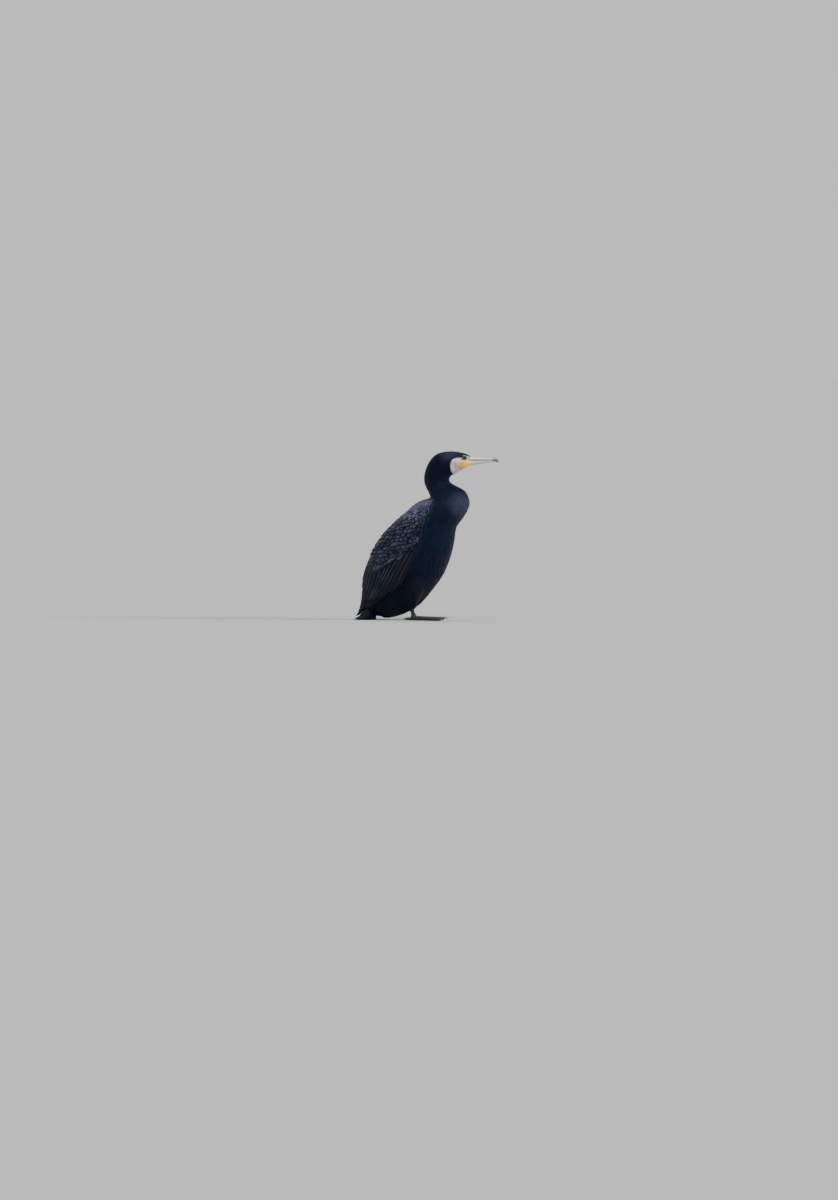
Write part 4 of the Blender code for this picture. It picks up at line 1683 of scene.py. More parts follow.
@dataclass
class Plumer:
    """Lays feathers on charts as solid vanes."""

    markings: Markings
    finishes: Finishes
    floor: float = 0.35 * MM  # nothing lies lower
    settle: float = 1.6  # how soon a feather comes up to the surface; more is sooner
    taper: float = 4.0  # a vane thins where it is narrower than a share of 1 / taper
    marked_at: float = 0.6  # the share of a feather's length that gives it its marking
    top_patch: tuple[float, float] = (0.0, 0.76)  # of the bake patch, for the upper side
    under_patch: tuple[float, float] = (0.78, 0.22)

    def lay(
        self,
        name: str,
        chart: Chart,
        feathers: Feathers,
        vane: Vane = CONTOUR_VANE,
        slot: Slot = Slot.PLUMAGE,
        stands_for: Iterable[str] = (),
        cup: float = 0.10,
        thickness: float = 0.13 * MM,
        straight: float = 0.0,
    ) -> None:
        """Builds one piece of the coat.

        Args:
            name: The piece's name.
            chart: The surface that the feathers lie on.
            feathers: Where they grow and how big they are.
            vane: Their cut.
            slot: The record's slot of their finish.
            stands_for: The CAD nodes that they replace.
            cup: How far the edges bend down, as a share of the half width.
            thickness: How thick a vane is in the middle.
            straight: How far a shaft leaves the chart's lie to run straight, from 0 to 1.
        """
        spots, faces = vane.template()
        u, v, w = spots.T
        levels, level_of = np.unique(np.round(v, 4), return_inverse=True)
        s_path, c_path = self.paths(chart, feathers, levels)
        if straight:
            c_path = c_path + straight * (self.straightened(chart, s_path, c_path) - c_path)
        s, c = s_path[:, level_of], c_path[:, level_of]
        length, width, turn, sink, rise, tilt, tone, rim = (
            value[:, None] for value in list(vars(feathers).values())[2:]
        )
        outline = vane.outline(v)
        half = width / 2 * outline
        side = u * half
        s_at = s - side * np.sin(turn) / chart.sample(chart.stretch_s, s, c)
        c_at = c + side * np.cos(turn) / chart.sample(chart.stretch_c, s, c)
        lift = rise * v**2 - sink * (1 - v) ** self.settle
        lift = lift + side * tilt - cup * half * u**2
        lift = lift + w * thickness / 2 * np.minimum(1.0, self.taper * outline)
        points = chart.at(s_at, c_at, lift)
        points[..., 2] = np.maximum(points[..., 2], self.floor)

        middle = int(np.argmin(np.abs(levels - self.marked_at)))
        x, _, z = chart.at(s_path[:, middle], c_path[:, middle]).T[..., None]
        values = {"tone": tone, "rim": rim}
        values |= {"white": self.markings.white(x, z), "blush": self.markings.blush(x, z)}
        values["edge"] = np.minimum(half * (1 - np.abs(u)), length * (1 - v)) / MM
        mesh = self.joined(name, points, spots, faces, (feathers.c, feathers.s))
        mark(mesh, **{key: np.broadcast_to(value, s.shape) for key, value in values.items()})
        flight, covert = self.finishes.flight, self.finishes.covert
        material = {Slot.FLIGHT: flight, Slot.COVERT: covert}.get(slot, self.finishes.coat)
        dress(linked(name, mesh), material, stands_for)

    @staticmethod
    def paths(chart: Chart, feathers: Feathers, levels: Array) -> Array:
        """Walks each feather's shaft over the chart.

        Args:
            chart: The surface.
            feathers: The feathers.
            levels: Shares of the length, rising from 0.

        Returns:
            The s and the column value of each feather at each level.
        """
        s, c = feathers.s, feathers.c
        stops = [(s, c)]
        for step in np.diff(levels):
            run = feathers.length * step
            s = s + run * np.cos(feathers.turn) / chart.sample(chart.stretch_s, s, c)
            c = c + run * np.sin(feathers.turn) / chart.sample(chart.stretch_c, s, c)
            stops.append((s, c))
        return np.stack(stops, axis=-1)

    @staticmethod
    def straightened(chart: Chart, s: Array, c: Array) -> Array:
        """Moves each shaft sideways into the plane that stands on the surface at its ends.

        Args:
            chart: The surface.
            s: Each feather's places along it.
            c: Its column values.

        Returns:
            The new column values.
        """
        root, tip = chart.at(s[:, :1], c[:, :1]), chart.at(s[:, -1:], c[:, -1:])
        middle = slice(s.shape[1] // 2, s.shape[1] // 2 + 1)
        side = np.cross(tip - root, chart.sample(chart.normals, s[:, middle], c[:, middle]))
        side /= np.linalg.norm(side, axis=2, keepdims=True)
        for _ in range(8):  # Newton's steps, each kept short
            off = ((chart.at(s, c) - root) * side).sum(axis=2)
            gain = (chart.sample(chart.by_c, s, c) * side).sum(axis=2)
            gain = np.where(np.abs(gain) < 0.01, 0.01 * np.sign(gain.mean()), gain)
            c = c - np.clip(off / gain, -0.08, 0.08)
        return c

    def joined(
        self, name: str, points: Array, spots: Array, faces: list, root: tuple[Array, Array]
    ) -> Mesh:
        """Repeats a template mesh for every feather.

        Args:
            name: The mesh's name.
            points: Feathers by template vertices by 3.
            spots: The template's vertices as shares.
            faces: The template's faces.
            root: Each feather's place on the unwrap, in any unit.

        Returns:
            The mesh, with its place on the vane and on the bake map.
        """
        count, size = points.shape[:2]
        corner, sizes = np.concatenate(faces), np.array([len(face) for face in faces])
        corners = (corner + (np.arange(count) * size)[:, None]).astype(np.int32)
        all_sizes = np.tile(sizes, count).astype(np.int32)
        starts = (np.cumsum(all_sizes) - all_sizes).astype(np.int32)
        mesh = bpy.data.meshes.new(name)
        mesh.vertices.add(count * size)
        mesh.vertices.foreach_set("co", points.astype(np.float32).ravel())
        mesh.loops.add(corners.size)
        mesh.loops.foreach_set("vertex_index", corners.ravel())
        mesh.polygons.add(len(all_sizes))
        mesh.polygons.foreach_set("loop_start", starts)
        mesh.polygons.foreach_set("loop_total", all_sizes)
        across, run = spots[corner, 0] * 0.5 + 0.5, spots[corner, 1]
        under = np.repeat([spots[face, 2].mean() < 0 for face in faces], sizes)
        start, reach = np.where(under, *np.array([self.under_patch, self.top_patch])[..., None])
        patch = np.stack([across, start + reach * run], axis=1)
        low, high = np.min(root, axis=1), np.max(root, axis=1)
        share = (np.transpose(root) - low) / np.maximum(high - low, 1e-9)
        spread = BAKE_MARGIN + share * (1 - 2 * BAKE_MARGIN)
        maps = {
            VANE_MAP: np.tile(np.stack([across, run], axis=1), (count, 1)),
            BAKE_MAP: spread[:, None, :] + (patch - 0.5) * BAKE_PATCH,
        }
        for label, places_on_map in maps.items():
            layer = mesh.uv_layers.new(name=label)
            flat = np.ascontiguousarray(places_on_map, np.float32)
            layer.uv.foreach_set("vector", flat.ravel())
        mesh.update(calc_edges=True)
        mesh.shade_smooth()
        return mesh


def lanes_round(count: int) -> tuple[Array, float]:
    """Lanes round a body: the angle of each, and the angle from one to the next."""
    return (np.arange(count) + 0.5) * TURN / count, TURN / count


@dataclass
class BodyCoat:
    """The small feathers of the head, neck and body, in lanes round the bird."""

    chart: BirdChart
    plumer: Plumer
    lanes: int = 156
    pace: float = 1.35  # from one feather to the next, in lane widths
    overlap: float = 3.9  # a feather's length, in paces
    breadth: float = 1.60  # a feather's width, in lane widths
    least_pace: float = 1.15 * MM
    least_width: float = 1.3 * MM
    longest: float = 24 * MM
    past_end: float = 0.012  # how far past its last rib the coat grows
    under_wing: float = 1.6 * MM  # how much lower the feathers lie along the wing's edge
    wing_share: float = 0.93  # of the wing's reach, past which the body's feathers grow
    widow_peak: float = 5.0 * MM  # how far the forehead's feathers run out on the bill
    peak_angle: float = 75.0  # degrees off the top where the peak ends
    peak_lift: float = 0.62  # what raises them onto it, for each metre that they run out
    pieces: tuple[tuple[str, str], ...] = (  # each with the rib where it ends
        ("head", "hind crown"), ("nape", "neck middle"), ("neck", "mantle"), ("breast", "belly"),
    )

    def rooted(self) -> Feathers:
        """Places a feather every pace along every lane.

        Returns:
            The feathers of the whole body, before any are left out.
        """
        rng, chart = np.random.default_rng(SEED), self.chart
        angle, spacing = lanes_round(self.lanes)
        off_top = np.abs((angle + math.pi) % TURN - math.pi)
        peak = smoothstep(math.radians(self.peak_angle), 0.0, off_top) * self.widow_peak
        end = chart.s_of_rib[chart.body_end_rib] + self.past_end
        s, angle, pace, lane = chart.body.lanes(
            0.002 - peak / chart.length, end, angle, spacing,
            lambda width: np.maximum(width * self.pace, self.least_pace), rng, 0.22, stagger=True,
        )
        count, peak = len(s), self.peak_lift * chart.length * np.maximum(-s, 0)
        length = np.minimum(pace * self.overlap * rng.uniform(0.88, 1.15, count), self.longest)
        width = np.maximum(lane * self.breadth, self.least_width)
        return Feathers(
            s=s,
            c=angle,
            length=length,
            width=width * rng.uniform(0.9, 1.1, count),
            turn=rng.normal(0, 0.06, count),
            sink=np.clip(length * 0.20, 0.7 * MM, 3.6 * MM) - peak,
            rise=rng.uniform(-0.03, 0.08, count) * MM,
            tilt=rng.normal(0, 0.012, count),
            tone=rng.uniform(0, 1, count),
        )

    def build(self) -> None:
        """Builds the coat in pieces from the head to the tail."""
        feathers, body, s_of = self.rooted(), self.chart.body, self.chart.s_of_rib
        s, c = feathers.s, feathers.c
        x, _, z = body.at(s, c).T
        rng = np.random.default_rng(SEED + 1)
        bald = self.plumer.markings.naked(x, z) > rng.uniform(0.25, 0.6, len(s))
        bald &= s < s_of["nape"]
        tip = s + 0.8 * feathers.length / body.sample(body.stretch_s, s, c)
        beside = np.minimum(self.chart.in_wing(s, c), self.chart.in_wing(tip, c))
        feathers.rise -= self.under_wing * smoothstep(1.25, 1.0, beside)
        feathers, start = feathers.only(~bald & (beside > self.wing_share)), -1.0
        for name, end in (*((name, s_of[rib]) for name, rib in self.pieces), ("belly", 1.1)):
            some = feathers.only((feathers.s >= start) & (feathers.s < end))
            self.plumer.lay(f"coat_{name}", body, some, cup=0.03)
            start = end


@dataclass
class ThighCoat:
    """The small feathers of one thigh, down to the shank."""

    leg: Leg
    chart: BirdChart
    plumer: Plumer
    lanes: int = 52
    start: float = 0.10
    stagger: float = 0.012
    end: float = 0.985
    buried: float = 2.2 * MM  # feathers rooted deeper under the flank are left out

    def build(self) -> None:
        """Builds the piece."""
        rng, thigh = np.random.default_rng(SEED + 6 + self.leg.side), self.leg.thigh
        start = self.start + self.stagger * (np.arange(self.lanes) % 2)
        s, angle, pace, lane = thigh.lanes(
            start, self.end, *lanes_round(self.lanes),
            lambda width: np.maximum(width * 1.25, 1.6 * MM), rng, 0.2,
        )
        count = len(s)
        length = pace * 3.0 * rng.uniform(0.9, 1.1, count)
        feathers = Feathers(
            s=s,
            c=angle,
            length=length,
            width=lane * 1.8,
            turn=rng.normal(0, 0.07, count),
            sink=np.clip(length * 0.2, 0.8 * MM, 3 * MM),
            rise=rng.uniform(-0.1, 0.25, count) * MM,
            tilt=rng.normal(0, 0.03, count),
            tone=rng.uniform(0, 1, count),
        )
        depths = [self.chart.depth(Vector(spot)) for spot in thigh.at(s, angle)]
        open_air = feathers.only(np.array(depths) < self.buried)
        self.plumer.lay(f"coat_thigh_{self.leg.word}", thigh, open_air)


@dataclass
class FoldedWings:
    """The plumage of both folded wings, in layers from the shoulders to the wing tips.

    Rows are placed by the wing chart: s runs from the shoulders to the wing tips, and a
    column is 0 on the back and 1 on a wing's lower edge.
    """

    chart: BirdChart
    plumer: Plumer
    scale_lanes: int = 24
    scale_end: Line = (  # where the last ones root, by column
        (0.00, 0.355), (0.12, 0.420), (0.25, 0.520), (0.42, 0.520), (0.57, 0.475), (0.68, 0.425),
        (0.78, 0.355), (0.93, 0.305), (1.00, 0.280),
    )
    shag: float = 5.0 * MM  # how far the loosest back feathers stand off
    coverts: int = 15
    tertial_root: float = 0.30
    tertials: tuple[Row, ...] = (  # column, tip, width in millimetres, turn, tone
        (0.045, 0.66, 19, -0.010, 0.30), (0.12, 0.715, 20, 0.0, 0.15),
        (0.20, 0.760, 20, 0.004, 0.35), (0.285, 0.790, 20, 0.006, 0.20),
        (0.37, 0.810, 19, 0.008, 0.40),
    )
    secondaries: int = 8
    secondary_tips: Line = (
        (0.40, 0.830), (0.55, 0.825), (0.73, 0.790), (0.88, 0.715), (1.00, 0.655),
    )
    primaries: int = 10
    primary_root: float = 0.56
    primary_tips: Line = ((0, 0.88), (3, 0.96), (6, 1.00), (9, 1.025))
    rump_grid: tuple[int, int] = (31, 62)

    @staticmethod
    def read(line: Line, value: Array) -> Array:
        """What a line of pairs gives for a value."""
        return np.interp(value, *np.array(line).T)

    def span(self, root: Array, tip: Array, column: Array) -> Array:
        """How long a feather is that lies from one s to another on its column."""
        return self.chart.wing.run(root, tip, column, 30)

    def scale_rows(self) -> Feathers:
        """The scale-like feathers of the mantle, shoulders and forearm.

        Returns:
            The feathers of both wings.
        """
        rng, lanes = np.random.default_rng(SEED + 2), self.scale_lanes
        column = ((np.arange(lanes) + 0.5) / lanes * 2 - 1) * 0.99
        s, column, pace, lane = self.chart.wing.lanes(
            np.full(lanes, -0.01), self.read(self.scale_end, np.abs(column)), column, 2 / lanes,
            lambda width: np.clip(width * 0.92, 4.5 * MM, 11.5 * MM), rng, 0.10, stagger=True,
        )
        count, off_back = len(s), np.abs(column)
        shaggy = smoothstep(0.16, 0.30, s) * smoothstep(0.40, 0.37, s)
        shaggy = shaggy * smoothstep(0.50, 0.10, off_back) * rng.uniform(0.3, 1.0, count)
        length = pace * 2.9 * rng.uniform(0.90, 1.10, count)
        width = np.clip(lane * 1.60, 9 * MM, 24 * MM)
        width = width * (1 - 0.35 * smoothstep(0.80, 0.95, off_back))
        # painted shade: the scales darken down the wing and towards its lower edge, so the mantle's
        # top stays lighter as a painted highlight
        painted_shade = 0.65 * smoothstep(0.04, 0.20, s) + 0.25 * smoothstep(0.36, 0.50, s)
        painted_shade += 0.35 * smoothstep(0.62, 0.98, off_back)
        return Feathers(
            s=s,
            c=column,
            length=length,
            width=width * rng.uniform(0.90, 1.06, count),
            turn=rng.normal(0, 0.09, count),
            sink=np.clip(pace * 0.32, 1.6 * MM, 3.6 * MM),
            rise=rng.uniform(0.1, 0.6, count) * MM + self.shag * shaggy,
            tilt=rng.normal(0, 0.02, count),
            tone=rng.uniform(0, 0.30, count) + painted_shade,
            rim=np.clip(pace / MM * 0.33, 1.3, 3.6),
        )

    def covert_row(self) -> Feathers:
        """A row of longer coverts under the scale-like ones.

        Returns:
            The feathers of both wings.
        """
        rng, count = np.random.default_rng(SEED + 3), self.coverts
        column = np.linspace(0.36, 0.90, count)
        return Feathers(
            s=self.read(self.scale_end, column) - 0.04,
            c=column,
            length=32 * MM * rng.uniform(0.95, 1.05, count) * (1.12 - 0.25 * column),
            width=13 * MM,
            turn=rng.normal(0.0, 0.015, count),
            sink=2.6 * MM,
            rise=0.5 * MM,
            tilt=0.045,
            tone=rng.uniform(0.6, 1.0, count),
            rim=1.6,
        ).on_both_wings()

    def tertial_row(self) -> Feathers:
        """The long inner feathers that cover the fold, the inner ones on top.

        Returns:
            The feathers of both wings.
        """
        column, tips, width, turn, tone = np.array(self.tertials).T
        root = np.full(len(column), self.tertial_root)
        return Feathers(
            s=root,
            c=column,
            length=self.span(root, tips, column),
            width=width * MM,
            turn=turn,
            sink=2.4 * MM,
            rise=(1.6 - 0.15 * np.arange(len(column))) * MM,
            tilt=0.07,
            tone=tone,
            rim=0.6,
        ).on_both_wings()

    def secondary_row(self) -> Feathers:
        """The row of secondaries, side by side down to the wing's lower edge.

        Returns:
            The feathers of both wings.
        """
        rng, count = np.random.default_rng(SEED + 4), self.secondaries
        column = np.linspace(0.44, 0.985, count)
        root = np.interp(column, (0.3, 1.0), (0.40, 0.27))
        tips = self.read(self.secondary_tips, column) + rng.uniform(-0.004, 0.004, count)
        return Feathers(
            s=root,
            c=column,
            length=self.span(root, tips, column),
            width=np.linspace(25, 21, count) * MM,
            turn=rng.normal(0, 0.004, count),
            sink=3.2 * MM,
            rise=np.linspace(0.9, 0.0, count) * MM,
            tilt=0.085,
            tone=np.linspace(0.1, 0.9, count),
            # painted shade: the secondaries darken towards the wing's lower edge
            rim=0.5,
        ).on_both_wings()

    def primary_row(self) -> Feathers:
        """The tips of the primaries, under the secondaries and out over the tail.

        Returns:
            The feathers of both wings.
        """
        count, order = self.primaries, np.arange(self.primaries)
        column, root = np.linspace(0.92, 0.05, count), np.full(count, self.primary_root)
        return Feathers(
            s=root,
            c=column,
            length=self.span(root, self.read(self.primary_tips, order), column),
            width=np.linspace(17, 11, count) * MM,
            sink=3.4 * MM,
            rise=(-0.9 + 0.12 * order) * MM,
            tilt=-0.03,
            tone=np.linspace(0.9, 0.6, count),
            rim=0.6,
        ).on_both_wings()

    def rump(self) -> Feathers:
        """Small feathers along the middle of the lower back, under the long ones.

        Returns:
            The feathers.
        """
        rng, wing, (lanes, rows) = np.random.default_rng(SEED + 9), self.chart.wing, self.rump_grid
        column, s = np.meshgrid(np.linspace(-0.4, 0.4, lanes), np.linspace(0.5, 0.96, rows))
        column = (column + 0.013 * (np.arange(rows) % 2)[:, None]).ravel()
        s, count = s.ravel(), s.size
        across = wing.sample(wing.stretch_c, s, column) * 0.8 / (lanes - 1)
        return Feathers(
            s=s,
            c=column,
            length=rng.uniform(12, 16, count) * MM,
            width=np.clip(across * 1.9, 2.5 * MM, 9 * MM),
            turn=rng.normal(0, 0.06, count),
            sink=1.6 * MM,
            rise=-1.7 * MM,
            tone=rng.uniform(0, 1, count),
        )

    def build(self) -> None:
        """Builds the wings' plumage in layers."""
        wing, lay = self.chart.wing, self.plumer.lay
        lay("coat_rump", wing, self.rump())
        nodes = ("primaries_left", "primaries_right")
        for name, row, vane, thickness, slot, stands_for in (
            ("wing_scales", self.scale_rows(), SCALE_VANE, 0.26, Slot.COVERT, ()),
            ("wing_coverts", self.covert_row(), QUILL_VANE, 0.34, Slot.COVERT, ()),
            ("tertials", self.tertial_row(), QUILL_VANE, 0.45, Slot.FLIGHT, ()),
            ("secondaries", self.secondary_row(), LONG_VANE, 0.42, Slot.FLIGHT, ()),
            ("primaries", self.primary_row(), LONG_VANE, 0.50, Slot.FLIGHT, nodes),
        ):
            straight = 0.8 * (slot is Slot.FLIGHT)
            lay(name, wing, row, vane, slot, stands_for, 0.05, thickness * MM, straight)


@dataclass
class StiffTail:
    """Fourteen stiff tail feathers on the floor, and the soft coverts under them."""

    plumer: Plumer
    sections: tuple[Section, ...] = (
        Section("root", (-0.1440, 0.0950), (-0.1300, 0.0880), 0.0180),
        Section("coverts", (-0.1560, 0.0580), (-0.1380, 0.0480), 0.0240),
        Section("fan", (-0.1690, 0.0300), (-0.1390, 0.0190), 0.0300),
        Section("bend", (-0.1780, 0.0140), (-0.1385, 0.0012), 0.0330),
        Section("flat", (-0.1870, 0.0066), (-0.1640, 0.0007), 0.0335),
        Section("fan end", (-0.1985, 0.0022), (-0.1965, 0.0005), 0.0325),
    )
    rows: int = 90
    columns: int = 72
    feathers: int = 14
    feather_root: float = 0.02
    spread: float = 98.0  # degrees round the tail from the middle to the outermost feather
    covert_lanes: int = 30
    covert_end: float = 0.74
    core_end: float = 0.80
    core_depth: float = 2.2 * MM

    def __post_init__(self) -> None:
        """Charts the tail; its columns start on the upper side and turn to the left."""
        top_x, top_z, bottom_x, bottom_z, half = section_lines(self.sections, self.rows).T
        zero = np.zeros_like(half)
        middle = np.stack([(top_x + bottom_x) / 2, zero, (top_z + bottom_z) / 2], axis=1)
        reach = np.stack([(top_x - bottom_x) / 2, zero, (top_z - bottom_z) / 2], axis=1)
        angle = (np.arange(self.columns) * TURN / self.columns)[None, :, None]
        side = half[:, None, None] * np.array([0.0, 1.0, 0.0])
        points = middle[:, None] + reach[:, None] * np.cos(angle) + side * np.sin(angle)
        self.chart = Chart(points, 0.0, TURN, True, middle)

    def build(self) -> None:
        """Builds the feathers and the coverts."""
        look = {"slot": Slot.FLIGHT, "stands_for": ("tail",), "cup": 0.06, "thickness": 0.6 * MM}
        self.plumer.lay("tail_feathers", self.chart, self.fan(), TAIL_VANE, **look)
        self.plumer.lay("tail_coverts", self.chart, self.coverts())

    def fan(self) -> Feathers:
        """The stiff feathers, the middle ones longest and on top.

        Returns:
            The feathers.
        """
        rng, count = np.random.default_rng(SEED + 5), self.feathers
        place = (np.arange(count) + 0.5) / count * 2 - 1
        angle, inner = np.radians(self.spread) * place, np.abs(place)
        root = np.full(count, self.feather_root)
        return Feathers(
            s=root,
            c=angle,
            length=self.chart.run(root, np.ones(count), angle, 60) * (0.995 - 0.10 * inner**2.2),
            width=10.5 * MM,
            turn=rng.normal(0, 0.006, count),
            sink=0.6 * MM,
            rise=0.6 * MM * (1 - inner),
            tilt=0.06 * np.sign(place),
            tone=rng.uniform(0.4, 1.0, count),
            rim=1.0,
        )

    def coverts(self) -> Feathers:
        """Soft feathers on the underside, from the vent to the floor.

        Returns:
            The feathers.
        """
        rng, lanes = np.random.default_rng(SEED + 8), self.covert_lanes
        spread, lane = math.radians(self.spread), np.arange(lanes)
        spacing = (TURN - 2 * spread) / lanes
        s, angle, _, _ = self.chart.lanes(
            np.where(lane % 2, 0.0, 0.012), self.covert_end, spread + (lane + 0.5) * spacing,
            spacing, lambda _: rng.uniform(2.8, 3.6, lanes) * MM, rng,
        )
        count = len(s)
        return Feathers(
            s=s,
            c=angle + rng.normal(0, 0.02, count),
            length=rng.uniform(14, 19, count) * MM,
            width=rng.uniform(4.0, 5.5, count) * MM,
            turn=rng.normal(0, 0.06, count),
            sink=2.0 * MM,
            rise=rng.uniform(0.0, 0.4, count) * MM,
            tone=rng.uniform(0, 1, count),
        )

    def core(self) -> BMesh:
        """The flesh inside the tail, under its feathers."""
        rows = np.linspace(0.0, self.core_end, 30)
        return wrapped(self.chart, rows, 48, -self.core_depth, (0.3, 0.1))


# ---------------------------------------------------------------- skin


def grid_of(rows: Array, columns: int) -> Sequence[Array]:
    """The s and the angle of each cell round a chart, the last column on the first."""
    return np.meshgrid(rows, np.linspace(0, TURN, columns + 1), indexing="ij")


def wrapped(
    chart: Chart, rows: Array, columns: int, lift: Array | float, bulges: tuple[float, float]
) -> BMesh:
    """A closed surface along a chart, with both its ends rounded off.

    Args:
        chart: The chart, closed round the surface.
        rows: Where it has a row.
        columns: How many columns it has.
        lift: How far it stands over the chart.
        bulges: How far each end stands out, as a share of its size.

    Returns:
        The mesh, unwrapped by row and column.
    """
    points = chart.at(*grid_of(rows, columns), lift)
    bm = bmesh.new()
    size = {"x_segments": columns, "y_segments": len(rows) - 1, "size": 0.5}
    bmesh.ops.create_grid(bm, **size, calc_uvs=True)
    layer = bm.loops.layers.uv.verify()
    for face in bm.faces:
        for loop in face.loops:
            loop[layer].uv = loop.vert.co.xy + Vector((0.5, 0.5))
    for vert in bm.verts:
        i = round((vert.co.y + 0.5) * (len(rows) - 1))
        vert.co = points[i, round((vert.co.x + 0.5) * columns)]
    bmesh.ops.remove_doubles(bm, verts=bm.verts, dist=1e-6)
    first, second, before, last = (
        Vector(points[k][:-1].mean(axis=0)) for k in (0, 1, -2, -1)
    )
    loops: tuple[list, list] = ([], [])
    for edge in bm.edges:
        if edge.is_boundary:
            spot = edge.verts[0].co
            loops[(spot - last).length < (spot - first).length].append(edge)
    for edges, way, bulge in zip(loops, (first - second, last - before), bulges):
        round_end(bm, edges, way.normalized(), bulge)
    bmesh.ops.recalc_face_normals(bm, faces=bm.faces)
    return bm


@dataclass
class Skin:
    """One skin over head, neck, trunk and thighs, under the coat."""

    chart: BirdChart
    legs: tuple[Leg, ...]
    tail: StiffTail
    markings: Markings
    finishes: Finishes
    columns: int = 200
    limb_columns: int = 40
    limb_rows: int = 36
    eye_opening: float = 4.3 * MM
    gape: Line = ((0.1260, 0.4310), (0.1150, 0.4303), (0.1060, 0.4284), (0.1005, 0.4256))
    pouch_top: tuple[float, float] = (0.4300, 0.4250)
    warmest: tuple[float, float] = (0.1005, 0.4195)
    chin: float = 0.385  # no marking lies lower
    head_step: float = 0.75 * MM
    body_step: float = 3.6 * MM
    depths: tuple[tuple[str, float], ...] = (  # under the coat's surface, in millimetres
        ("bill root", 0.2), ("brow", 0.5), ("eye", 0.8), ("crown", 1.2), ("nape", 2.0),
        ("neck bend", 3.0), ("breast", 5.0), ("vent", 5.0), ("tail coverts", 5.5),
        ("wing tip end", 5.5),
    )
    end_row: float = 0.965
    nodes: tuple[str, ...] = (
        "head", "neck_upper", "neck_lower", "trunk", "gular_skin",
        "thigh_left", "thigh_right", "wing_left", "wing_right",
    )

    def rows(self) -> Array:
        """Places along the body with a row: close on the head, wide on the body.

        Returns:
            Their s, from 0.
        """
        s_of, length = self.chart.s_of_rib, self.chart.length
        head = np.arange(0, s_of["hind crown"], self.head_step / length)
        body = np.arange(head[-1], self.end_row, self.body_step / length)[1:]
        return np.concatenate([head, body])

    def build(self) -> None:
        """Builds the skin."""
        rows, body, s_of = self.rows(), self.chart.body, self.chart.s_of_rib
        stops = [s_of[name] for name, _ in self.depths]
        depth = np.interp(rows, stops, [value * MM for _, value in self.depths])
        points = body.at(*grid_of(rows, self.columns))
        bare = self.markings.bare(points[..., 0], points[..., 2])
        bare[rows > s_of["nape"]] = 0
        relief = self.relief(points) * (rows < s_of["hind crown"])[:, None]
        lift = relief - depth[:, None] * (1 - bare)
        skin = publish(wrapped(body, rows, self.columns, lift, (0.1, 0.45)), "skin")
        for flesh in (*map(self.limb, self.legs), self.tail.core()):
            limb = publish(flesh, "limb")
            union = skin.modifiers.new("limb", "BOOLEAN")
            union.operation, union.solver, union.object = "UNION", "EXACT", limb
            applied(skin)
            bpy.data.objects.remove(limb)
        skin.data.shade_smooth()
        self.mark(skin.data)
        dress(skin, self.finishes.skin, self.nodes)

    def limb(self, leg: Leg) -> BMesh:
        """A thigh under its coat.

        Args:
            leg: Its leg.

        Returns:
            The mesh.
        """
        rows = np.linspace(0, 1, self.limb_rows)
        sunk = np.interp(rows, (0, 0.6, 1), (4 * MM, 3 * MM, 1.2 * MM))
        return wrapped(leg.thigh, rows, self.limb_columns, -sunk[:, None], (0.3, 0.3))

    def relief(self, points: Array) -> Array:
        """The bare face's own forms: eye opening, gape, folds of the throat pouch.

        Args:
            points: Places on the head's outer surface.

        Returns:
            How far the skin stands up at each, in metres.
        """
        x, y, z = np.moveaxis(points, -1, 0)
        edge, eye = self.eye_opening, self.markings.from_eye(x, z)
        gape = distance_to_line(np.stack([x, z], axis=-1), self.gape)
        high = -3.2 * MM * smoothstep(edge + 0.5 * MM, edge - 0.9 * MM, eye)
        high += 0.35 * MM * bump(eye, 6.0 * MM, 0.9 * MM)
        high -= 0.75 * MM * bump(gape, 0.0, 0.55 * MM)
        high += 0.40 * MM * bump(gape, 1.5 * MM, 0.8 * MM)
        wave = (z * 0.8 + x * 0.6) * TURN / (1.9 * MM) + 2.2 * np.sin(x * 900)
        fold = self.markings.bare(x, z) * np.sin(wave) * MM
        high += 0.13 * fold * smoothstep(*self.pouch_top, z)
        on_side = smoothstep(4 * MM, 8 * MM, np.abs(y))
        return high * on_side + 0.10 * fold * (1 - on_side)

    def mark(self, mesh: Mesh) -> None:
        """Writes the markings on the skin.

        Args:
            mesh: The skin.
        """
        x, _, z = places(mesh).T
        look, on_head = self.markings, z > self.chin
        bare = look.bare(x, z) * on_head
        warm = np.hypot(x - self.warmest[0], z - self.warmest[1])
        mark(
            mesh,
            bare=bare,
            lore=np.maximum(look.naked(x, z) - bare, 0) * on_head,
            white=look.white(x, z) * on_head,
            blush=look.blush(x, z) * on_head,
            brow=look.pale_brow(x, z) * on_head,
            ring=smoothstep(6.6 * MM, 5.4 * MM, look.from_eye(x, z)),
            warm=smoothstep(0.014, 0.003, warm),
        )


# ---------------------------------------------------------------- feet


